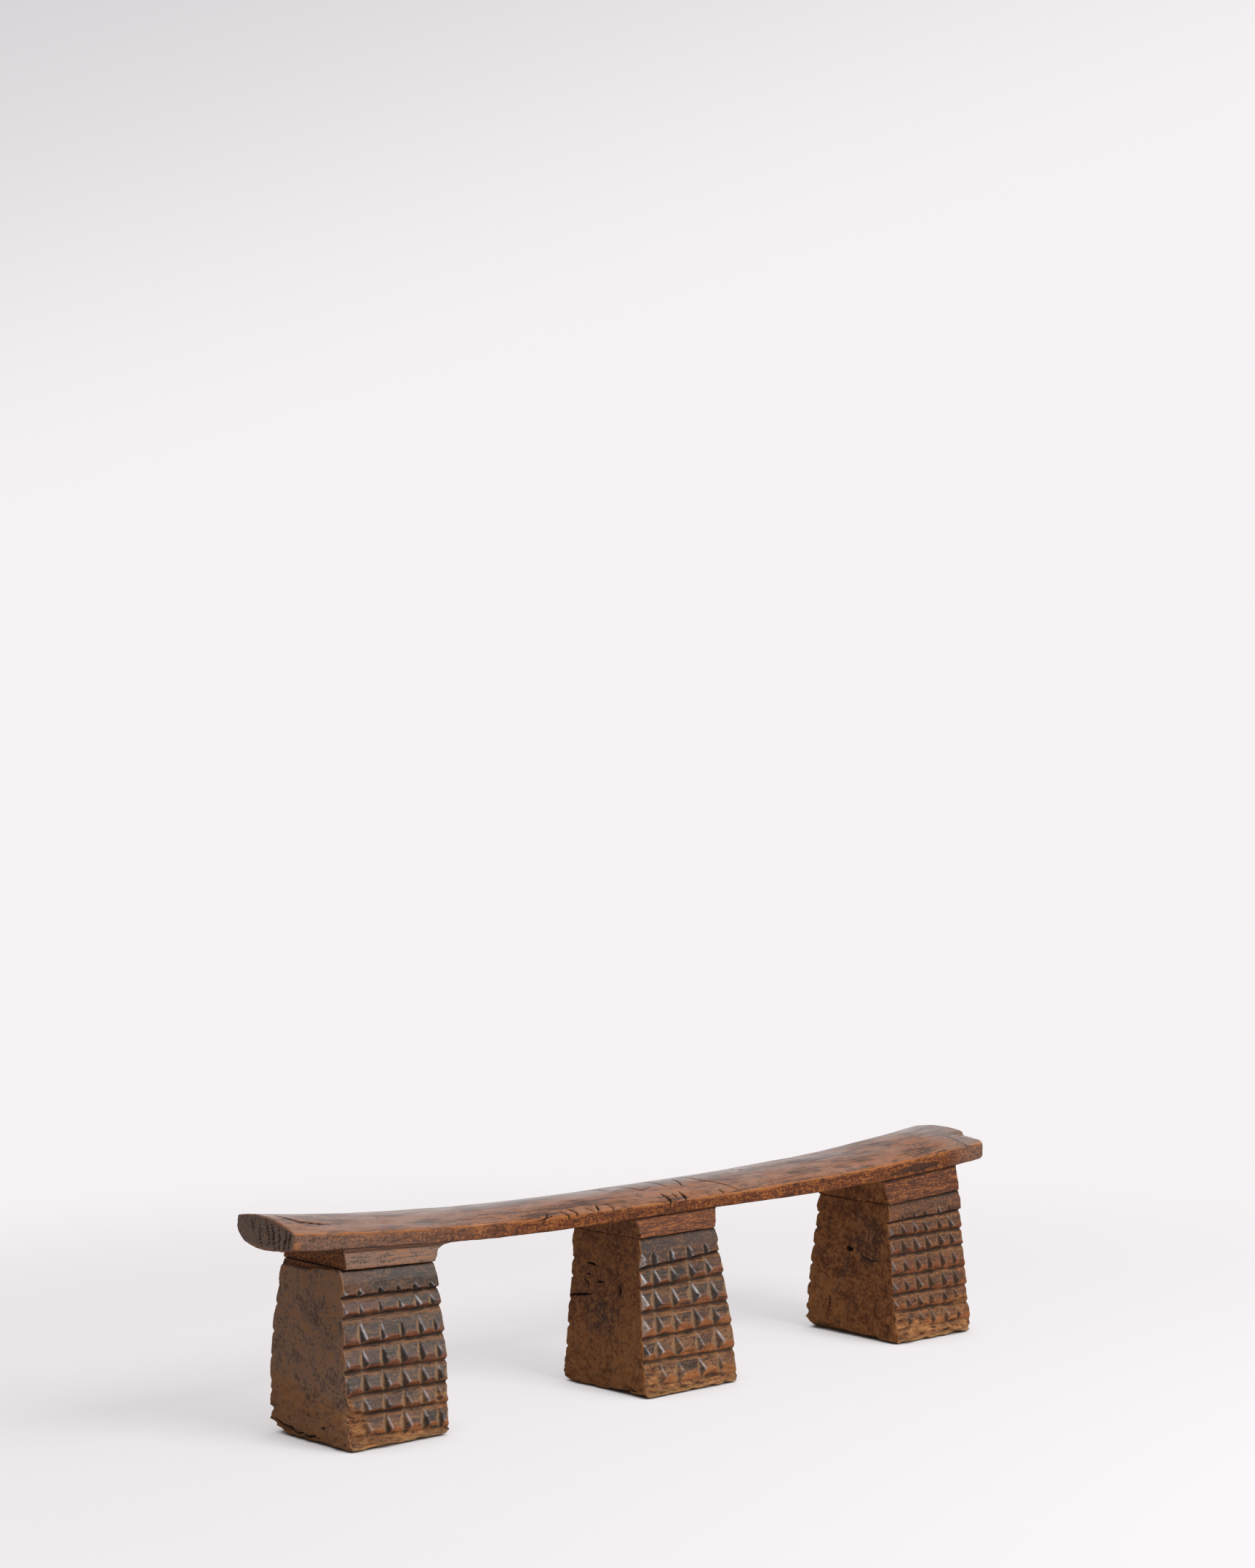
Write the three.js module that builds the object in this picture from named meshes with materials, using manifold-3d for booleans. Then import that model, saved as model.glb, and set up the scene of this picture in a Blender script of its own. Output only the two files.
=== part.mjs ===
// A carved wooden headrest: a long saddle-shaped beam on three tapering legs.
// Millimetres, +Z up. X runs along the beam, Y runs from the front to the back,
// and the legs stand on Z = 0. The front and the back of every leg carry rows of
// chip-carved bosses under a plain collar, which joins the leg to the beam.

import * as THREE from 'three';
import { mergeVertices } from 'three/addons/utils/BufferGeometryUtils.js';
import Module from 'manifold-3d';

// Beam, along its length
const beamLength = 610;
const saddleHeight = 120.5; // top of the front edge at its lowest point
const saddleOffset = 28; // lowest point of the saddle, to the right of the middle
const leftRise = 14; // how far the front edge has risen at the left end
const rightRise = 10.5; // the same at the right end
const saddlePower = 2.5; // 2 is a parabola, and more keeps the middle flatter
const beamSteps = 40;

// Beam, across its width
const beamFront = 30; // front side, from the centre plane
const beamBackLeft = 26; // back side at the left end
const beamBackMiddle = 34.5;
const beamBackRight = 37;
const backLiftLeft = 4.5; // back edge above the front edge, at the left end
const backLiftMiddle = 1.2;
const backLiftRight = 4.2;
const crown = 5; // bulge of the top above the line between its edges
const frontSideMiddle = 7.8; // thickness of the front side at the lowest point
const frontSideLeft = 10.6;
const frontSideRight = 12.2;
const backSide = 7.2; // height of the back side above its rounded lower edge
const backRounding = 12.4; // reach of the rounding below the back side
const bellyDrop = 5.6; // slope of the belly behind the front side
const bellyReach = 26; // how far back the belly's flat middle starts
const curveSteps = 12; // facets in the crown and in the belly

// Chip lost from the right end
const chipWidth = 16;
const chipLength = 20;
const chipFloor = 0.8; // floor of the chip at the end, above the front edge
const chipSlope = 4; // rise of its floor along its length

// Places of the legs under the beam
const leftOverhang = 36; // beam beyond the left leg's seat
const rightOverhang = 27; // beam beyond the right leg's seat
const middleOffset = 4.5; // middle leg's seat, to the right of the beam's middle

// Carving that all legs share
const rowDepth = 3.2; // from a boss's ridge to the groove below it
const ridgePlace = 0.58; // ridge, as a share of the row's height from its top
const bandRidgePlace = 0.86; // the same in the plain band under the collar
const notchHalfWidth = 2.4; // half the mouth of a cut between two bosses
const notchFloor = 0.35; // how far the floor of a cut stays above the grooves
const bandNotchShare = 0.42; // part of the band that the cuts reach up into
const footLip = 0.45; // the foot strip's edge, as a share of the strip's height
const cornerCut = 1; // cuts at a leg's corners, moved out from the corner
const footWear = 1.2; // worn-off edge round the base
const legProud = 0.8; // carved face at the seat, in front of the beam's side

// Collars
const lipOverhang = 1; // collar's lower edge in front of the carved face
const backOverhang = -1; // the same at the back, where it stays behind the face
const lipHeight = 2;
const collarSetBack = 1.2; // collar's top behind the beam's side
const filletHeight = 4.5;
const collarSpreadLeft = 3; // how far every collar spreads to the left in it
const filletSteps = 4;
const fitGap = 0.3; // seat between the collars and the beam

// Left leg. The seat is where a leg meets its collar.
const leftCollarHeight = 11.2; // from the seat up to the beam's underside
const leftSeatWidth = 70;
const leftFootWidth = 75.5;
const leftFootDrift = 2.8; // middle of the foot, to the right of the seat's middle
const leftFootFront = 38.5; // front of the foot, from the centre plane
const leftFootBack = 42.5;
const leftBackSwell = 7; // bulge of the back between the seat and the floor
const leftSideSwell = 4.5; // the same on the right side
const leftBandHeight = 17; // plain band under the collar
const leftFootStrip = 7; // plain strip at the floor
const leftCollarSpread = 12; // how far the collar spreads to the right in its fillet

// Middle leg
const middleCollarHeight = 13;
const middleSeatWidth = 67;
const middleFootWidth = 81.5;
const middleFootDrift = -4.6;
const middleFootFront = 50.5;
const middleFootBack = 33.5;
const middleBackSwell = 0.5;
const middleSideSwell = 3.5;
const middleBandHeight = 20;
const middleFootStrip = 8;
const middleCollarSpread = 4;

// Right leg
const rightCollarHeight = 17.3;
const rightSeatWidth = 73;
const rightFootWidth = 76;
const rightFootDrift = 0;
const rightFootFront = 41.5;
const rightFootBack = 50.3;
const rightBackSwell = 2.5;
const rightSideSwell = 1.2;
const rightBandHeight = 13;
const rightFootStrip = 9;
const rightCollarSpread = 2;

const legs = [
  {
    name: 'left',
    middle: leftOverhang - beamLength / 2 + leftSeatWidth / 2,
    collarHeight: leftCollarHeight,
    seatWidth: leftSeatWidth,
    footWidth: leftFootWidth,
    footDrift: leftFootDrift,
    footFront: leftFootFront,
    footBack: leftFootBack,
    backSwell: leftBackSwell,
    sideSwell: leftSideSwell,
    bandHeight: leftBandHeight,
    footStrip: leftFootStrip,
    collarSpread: leftCollarSpread,
    rows: 6,
    bosses: 6,
  },
  {
    name: 'middle',
    middle: middleOffset,
    collarHeight: middleCollarHeight,
    seatWidth: middleSeatWidth,
    footWidth: middleFootWidth,
    footDrift: middleFootDrift,
    footFront: middleFootFront,
    footBack: middleFootBack,
    backSwell: middleBackSwell,
    sideSwell: middleSideSwell,
    bandHeight: middleBandHeight,
    footStrip: middleFootStrip,
    collarSpread: middleCollarSpread,
    rows: 5,
    bosses: 5,
  },
  {
    name: 'right',
    middle: beamLength / 2 - rightOverhang - rightSeatWidth / 2,
    collarHeight: rightCollarHeight,
    seatWidth: rightSeatWidth,
    footWidth: rightFootWidth,
    footDrift: rightFootDrift,
    footFront: rightFootFront,
    footBack: rightFootBack,
    backSwell: rightBackSwell,
    sideSwell: rightSideSwell,
    bandHeight: rightBandHeight,
    footStrip: rightFootStrip,
    collarSpread: rightCollarSpread,
    rows: 6,
    bosses: 6,
  },
];

// Colours and finishes of the wood
const beamWood = { color: 0x7c4728, roughness: 0.42, metalness: 0 };
const collarWood = { color: 0x6f4029, roughness: 0.55, metalness: 0 };
const legWood = { color: 0x4b3525, roughness: 0.7, metalness: 0 };

const wasm = await Module();
wasm.setup();

const halfLength = beamLength / 2;
const clearCut = 5; // how far a cutting shape passes beyond what it cuts

// Closed geometry through rings of points. All rings are convex, have as many
// points as each other and turn counter-clockwise as seen from the last ring.
function loft(rings) {
  const count = rings[0].length;
  const last = (rings.length - 1) * count;
  const faces = [];
  for (let start = 0; start < last; start += count) {
    for (let i = 0; i < count; i++) {
      const next = (i + 1) % count;
      faces.push(start + i, start + next, start + count + next);
      faces.push(start + i, start + count + next, start + count + i);
    }
  }
  for (let i = 1; i < count - 1; i++) {
    faces.push(0, i + 1, i);
    faces.push(last, last + i, last + i + 1);
  }
  const positions = rings.flat().flatMap((point) => point.toArray());
  const geometry = new THREE.BufferGeometry();
  geometry.setAttribute('position', new THREE.Float32BufferAttribute(positions, 3));
  geometry.setIndex(faces);
  return geometry;
}

function toSolid(geometry) {
  const merged = mergeVertices(geometry);
  const vertProperties = new Float32Array(merged.getAttribute('position').array);
  const triVerts = new Uint32Array(merged.getIndex().array);
  return new wasm.Manifold(new wasm.Mesh({ numProp: 3, vertProperties, triVerts }));
}

function toGeometry(solid) {
  const { vertProperties, triVerts } = solid.getMesh();
  const geometry = new THREE.BufferGeometry();
  geometry.setAttribute('position', new THREE.BufferAttribute(vertProperties, 3));
  geometry.setIndex(new THREE.BufferAttribute(triVerts, 1));
  geometry.computeVertexNormals();
  return geometry;
}

// The saddle's curve: 0 at its lowest point and 1 at either end of the beam.
function saddleShare(x) {
  const reach = x < saddleOffset ? halfLength + saddleOffset : halfLength - saddleOffset;
  return Math.abs(x - saddleOffset) / reach;
}

function frontEdgeHeight(x) {
  const rise = x < saddleOffset ? leftRise : rightRise;
  return saddleHeight + rise * saddleShare(x) ** saddlePower;
}

function frontSideHeight(x) {
  const end = x < saddleOffset ? frontSideLeft : frontSideRight;
  return THREE.MathUtils.lerp(frontSideMiddle, end, saddleShare(x));
}

// A parabola along the beam through its values at the left end, middle and right end.
function alongParabola(x, left, middle, right) {
  const along = x / halfLength;
  const slope = (right - left) / 2;
  const bend = (right + left) / 2 - middle;
  return middle + slope * along + bend * along * along;
}

function beamBack(x) {
  return alongParabola(x, beamBackLeft, beamBackMiddle, beamBackRight);
}

function backEdgeHeight(x) {
  return frontEdgeHeight(x) + alongParabola(x, backLiftLeft, backLiftMiddle, backLiftRight);
}

// Underside of the beam across its width, from the front side to the back side.
function bellyLine(x) {
  const back = beamBack(x);
  const frontLow = frontEdgeHeight(x) - frontSideHeight(x);
  const backLow = backEdgeHeight(x) - backSide;
  const curve = new THREE.CubicBezierCurve(
    new THREE.Vector2(-beamFront, frontLow),
    new THREE.Vector2(bellyReach - beamFront, frontLow - bellyDrop),
    new THREE.Vector2(back, backLow - backRounding),
    new THREE.Vector2(back, backLow),
  );
  return curve.getPoints(curveSteps);
}

// Top of the beam across its width, from the back side to the front side.
function crownLine(x) {
  const back = beamBack(x);
  const frontHigh = frontEdgeHeight(x);
  const backHigh = backEdgeHeight(x);
  const middle = (back - beamFront) / 2;
  const curve = new THREE.QuadraticBezierCurve(
    new THREE.Vector2(back, backHigh),
    new THREE.Vector2(middle, (frontHigh + backHigh) / 2 + 2 * crown),
    new THREE.Vector2(-beamFront, frontHigh),
  );
  return curve.getPoints(curveSteps);
}

function alongBeam(section) {
  const rings = [];
  for (let step = 0; step <= beamSteps; step++) {
    const x = -halfLength + (beamLength * step) / beamSteps;
    rings.push(section(x).map((point) => new THREE.Vector3(x, point.x, point.y)));
  }
  return loft(rings);
}

// Wedge that takes the chip out of the top at the right end.
function chipCutter() {
  const floor = frontEdgeHeight(halfLength) + chipFloor;
  const top = backEdgeHeight(halfLength) + 2 * crown;
  const inner = halfLength - chipLength;
  const profile = [
    [inner, top],
    [inner, floor + chipSlope],
    [halfLength, floor],
    [halfLength + clearCut, floor],
    [halfLength + clearCut, top],
  ];
  const ring = (y) => profile.map(([x, z]) => new THREE.Vector3(x, y, z));
  return loft([ring(chipWidth - beamFront), ring(-beamFront - clearCut)]);
}

function makeBeam() {
  const whole = toSolid(alongBeam((x) => [...bellyLine(x), ...crownLine(x)]));
  return whole.subtract(toSolid(chipCutter()));
}

// Everything above the underside of the beam, which the collars are cut by.
function makeRoomOfBeam() {
  const sky = saddleHeight * 2;
  const room = alongBeam((x) => [
    ...bellyLine(x).map((point) => new THREE.Vector2(point.x, point.y - fitGap)),
    new THREE.Vector2(beamBack(x), sky),
    new THREE.Vector2(-beamFront, sky),
  ]);
  return toSolid(room);
}

function rectangle(z, { left, right, front, back }) {
  return [
    new THREE.Vector3(left, front, z),
    new THREE.Vector3(right, front, z),
    new THREE.Vector3(right, back, z),
    new THREE.Vector3(left, back, z),
  ];
}

// Outer faces of the leg at one height, measured on its ridges.
function legFaces(leg, z) {
  const share = 1 - z / leg.seatHeight;
  const middle = leg.middle + leg.footDrift * share;
  const half = THREE.MathUtils.lerp(leg.seatWidth, leg.footWidth, share) / 2;
  const bulge = 4 * share * (1 - share);
  return {
    left: middle - half,
    right: middle + half + leg.sideSwell * bulge,
    front: -THREE.MathUtils.lerp(beamFront + legProud, leg.footFront, share),
    back: THREE.MathUtils.lerp(leg.seatBack, leg.footBack, share) + leg.backSwell * bulge,
  };
}

// The leg's front and back drawn in by a depth, with its two sides in place.
function drawnIn(faces, depth) {
  return { ...faces, front: faces.front + depth, back: faces.back - depth };
}

function pitchOf(leg) {
  return (leg.seatHeight - leg.bandHeight - leg.footStrip) / leg.rows;
}

// Heights of the grooves, from the one under the collar down to the foot strip.
function grooveHeights(leg) {
  const heights = [leg.seatHeight];
  for (let row = 0; row <= leg.rows; row++) {
    heights.push(leg.seatHeight - leg.bandHeight - row * pitchOf(leg));
  }
  return heights;
}

// Every row swells from its upper groove to a ridge and turns back in below it.
function legBlock(leg) {
  const grooves = grooveHeights(leg);
  const rings = [rectangle(0, shrunk(legFaces(leg, 0), footWear))];
  rings.push(rectangle(footWear, legFaces(leg, footWear)));
  const footEdge = leg.footStrip * (1 - footLip);
  rings.push(rectangle(footEdge, legFaces(leg, footEdge)));
  for (let row = leg.rows; row >= 0; row--) {
    const low = grooves[row + 1];
    const high = grooves[row];
    const place = row === 0 ? bandRidgePlace : ridgePlace;
    const ridge = THREE.MathUtils.lerp(high, low, place);
    rings.push(rectangle(low, drawnIn(legFaces(leg, low), rowDepth)));
    rings.push(rectangle(ridge, legFaces(leg, ridge)));
  }
  rings.push(rectangle(leg.seatHeight, drawnIn(legFaces(leg, leg.seatHeight), rowDepth)));
  return toSolid(loft(rings));
}

function shrunk(faces, wear) {
  return {
    left: faces.left + wear,
    right: faces.right - wear,
    front: faces.front + wear,
    back: faces.back - wear,
  };
}

// The first and the last column stand just outside the leg's corners.
function columnPlace(leg, faces, column) {
  const outward = (column === leg.bosses) - (column === 0);
  return THREE.MathUtils.lerp(faces.left, faces.right, column / leg.bosses) + outward * cornerCut;
}

// One V-shaped cut that runs down the whole carved face between two bosses.
// It starts as a point on the band and keeps its floor just above the grooves.
function notchCutter(leg, column, side) {
  const grooves = grooveHeights(leg);
  const start = grooves[1] + leg.bandHeight * bandNotchShare;
  const levels = [start, ...grooves.slice(1)].reverse();
  const rings = levels.map((z) => {
    const faces = legFaces(leg, z);
    const x = columnPlace(leg, faces, column);
    const face = side * (side > 0 ? faces.back : -faces.front);
    const depth = z === start ? 0 : rowDepth - notchFloor;
    const mouth = (notchHalfWidth * (depth + rowDepth)) / rowDepth;
    const floor = new THREE.Vector3(x, face - side * depth, z);
    const near = new THREE.Vector3(x - side * mouth, face + side * rowDepth, z);
    const far = new THREE.Vector3(x + side * mouth, face + side * rowDepth, z);
    return [floor, far, near];
  });
  return toSolid(loft(rings));
}

function makeLeg(leg) {
  let solid = legBlock(leg);
  for (const side of [-1, 1]) {
    for (let column = 0; column <= leg.bosses; column++) {
      solid = solid.subtract(notchCutter(leg, column, side));
    }
  }
  return solid;
}

// The collar stands on the leg's seat with a small lip over the carving, draws
// in upwards and spreads again in a fillet where it meets the beam.
function makeCollar(leg, roomOfBeam) {
  const seat = legFaces(leg, leg.seatHeight);
  const lip = { ...seat, front: seat.front - lipOverhang, back: seat.back + backOverhang };
  const neckHeight = Math.max(leg.underside - filletHeight, leg.seatHeight + lipHeight + fitGap);
  const reach = Math.max(leg.underside - neckHeight, fitGap);
  const neckBack = Math.min(beamBack(seat.left), beamBack(seat.right)) - collarSetBack;
  const neckFront = collarSetBack - beamFront;
  const rings = [rectangle(leg.seatHeight, lip)];
  rings.push(rectangle(leg.seatHeight + lipHeight, lip));
  for (let step = 0; step <= filletSteps; step++) {
    const turn = (step / filletSteps) * (Math.PI / 2);
    const spread = 1 - Math.cos(turn);
    const neck = {
      left: seat.left - collarSpreadLeft * spread,
      right: seat.right + leg.collarSpread * spread,
      front: neckFront,
      back: neckBack,
    };
    rings.push(rectangle(neckHeight + reach * Math.sin(turn), neck));
    if (step === filletSteps) {
      rings.push(rectangle(neckHeight + reach + backRounding, neck));
    }
  }
  return toSolid(loft(rings)).subtract(roomOfBeam);
}

// The seats follow the underside of the beam, and the backs follow its back side.
function seatLegs() {
  for (const leg of legs) {
    leg.underside = frontEdgeHeight(leg.middle) - frontSideHeight(leg.middle);
    leg.seatHeight = leg.underside - leg.collarHeight;
    leg.seatBack = beamBack(leg.middle) + legProud;
  }
}

function addPart(group, name, solid, finish) {
  const material = new THREE.MeshStandardMaterial(finish);
  const mesh = new THREE.Mesh(toGeometry(solid), material);
  mesh.name = name;
  group.add(mesh);
}

seatLegs();
const headrest = new THREE.Group();
addPart(headrest, 'headrest_beam', makeBeam(), beamWood);
const roomOfBeam = makeRoomOfBeam();
for (const leg of legs) {
  addPart(headrest, `${leg.name}_collar`, makeCollar(leg, roomOfBeam), collarWood);
  addPart(headrest, `${leg.name}_leg`, makeLeg(leg), legWood);
}

export default headrest;
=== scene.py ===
"""A carved wooden headrest: a long saddle-shaped beam on three tapering, chip-carved legs.

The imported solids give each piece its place. Every surface is worked out on a closed, box-shaped
lattice: a point's three shares of the box's length, depth and height give its place in space.
Lengths inside the shape functions are in millimetres, and the meshes are in metres.
"""

import math

import bpy
import numpy as np
from bpy.props import FloatProperty, FloatVectorProperty, PointerProperty
from mathutils import Matrix, Vector


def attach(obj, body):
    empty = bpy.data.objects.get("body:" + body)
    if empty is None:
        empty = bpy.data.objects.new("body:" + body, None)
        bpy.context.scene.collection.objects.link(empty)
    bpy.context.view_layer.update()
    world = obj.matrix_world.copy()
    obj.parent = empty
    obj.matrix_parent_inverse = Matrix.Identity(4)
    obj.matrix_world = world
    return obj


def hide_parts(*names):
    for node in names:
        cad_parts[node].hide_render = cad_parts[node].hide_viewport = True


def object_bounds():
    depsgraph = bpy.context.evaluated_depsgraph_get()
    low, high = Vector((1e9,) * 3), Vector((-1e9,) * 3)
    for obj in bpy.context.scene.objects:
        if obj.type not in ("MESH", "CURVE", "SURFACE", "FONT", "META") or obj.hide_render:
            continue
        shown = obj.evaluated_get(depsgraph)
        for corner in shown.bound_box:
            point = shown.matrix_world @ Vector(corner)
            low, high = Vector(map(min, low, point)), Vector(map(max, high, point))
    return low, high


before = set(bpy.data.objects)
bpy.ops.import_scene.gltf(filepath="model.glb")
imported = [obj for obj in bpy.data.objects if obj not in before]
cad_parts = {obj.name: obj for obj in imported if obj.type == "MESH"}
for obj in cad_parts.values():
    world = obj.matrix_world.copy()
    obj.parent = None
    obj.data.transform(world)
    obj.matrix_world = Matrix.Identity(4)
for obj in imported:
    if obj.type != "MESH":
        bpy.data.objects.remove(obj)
cad_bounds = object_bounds()

bl_info = {
    "name": "Carved Wooden Headrest",
    "version": (1, 0, 0),
    "blender": (4, 5, 0),
    "location": "View3D > Sidebar > Headrest",
    "description": "Carves a saddle-shaped wooden headrest with three chip-carved legs",
    "category": "Add Mesh",
}

MM = 0.001

# Beam, in millimetres: its curves as in the solids, and the chip on its right end
HALF_LENGTH = cad_bounds[1].x / MM
SADDLE_HEIGHT = 120.5
SADDLE_PLACE = 28.0
SADDLE_RISE = (14.0, 10.5)
SADDLE_POWER = 2.5
BEAM_FRONT = -30.0
BEAM_BACK = (26.0, 34.5, 37.0)
BACK_LIFT = (4.5, 1.2, 4.2)
FRONT_SIDE = (10.6, 7.8, 12.2)
BACK_SIDE = 7.2
BACK_ROUNDING = 12.4
BELLY_DROP = 5.6
BELLY_REACH = 26.0
END_CHIP = {"inner": 285.0, "back": -10.4, "floor": 0.4, "slope": 2.2, "rise": 6.5}

# Places along the beam, and the share of the crown that rubbing has left there
CROWN_SHARES = (
    (-305.0, 0.85), (-250.0, 0.56), (-190.0, 0.42), (-150.0, 0.55), (-90.0, 0.82), (-20.0, 1.05),
    (60.0, 1.12), (150.0, 1.05), (200.0, 0.76), (240.0, 0.9), (305.0, 1.0),
)

# Steps of the lattices. Stops are the places where the step changes: the beam's lie along X in
# millimetres, and the others are shares. Each part of a leg has the fewest steps or more.
BEAM_STOPS = (-305.0, -270.0, -116.0, 70.0, 262.0, 305.0)
BEAM_STEPS = (48, 90, 262, 110, 58)
BEAM_DEEP_STOPS = (0.0, 0.24, 1.0)
BEAM_DEEP_STEPS = (16, 38)
BEAM_UP_STEPS = 27
LEG_STEPS = {"across": 128, "deep": 78, "up": 186, "fewest": 8}
COLLAR_STEPS = {"across": 100, "deep": 78}
COLLAR_UP_STOPS = (0.0, 0.25, 1.0)
COLLAR_UP_STEPS = (10, 18)

# Carving, in millimetres: widths of the knife line, of the painted shadow under the lip, of a cut's flat
# bottom and of the painted glint on an arris, and the valley line between the bosses. A row's ridge is a
# share of it.
KNIFE_LINE = 1.2
LIP_SHADOW = 1.9
CUT_BOTTOM = 0.25
ARRIS_WIDTH = 0.5
VALLEY_DEPTH = 0.5
VALLEY_HALF_WIDTH = 0.8
BAND_RIDGE = 0.88
NO_CUT = -9.0
STREAK_HALF_WIDTH = 3.4
FIBRE_GRAIN = (12.0, 0.9, 0.9)

# Collars: how far they reach into the beam, in millimetres, and shares of their height for the
# start and the length of the quarter round and for the groove under the bead
COLLAR_REACH = 1.5
QUARTER_ROUND = (0.47, 0.48)
BEAD_GROOVE = 0.73

# Stage, in metres and degrees
CAMERA_PLACE = (-1.4177, -1.539, 0.451)
CAMERA_TURN = 42.4
CAMERA_TILT = -1.64
SENSOR_WIDTH = 36.0
FLOOR_HALF = 2.6
FLOOR_DROP = 0.0003
FRONT_LAMP = {"place": (0.4, -2.0, 1.5), "size": (1.2, 0.9)}
RIGHT_REFLECTOR = {"place": (1.5, -1.5, 0.75), "size": (1.0, 1.0)}
LAMP_AIM = (0.0, 0.0, 0.06)
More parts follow.
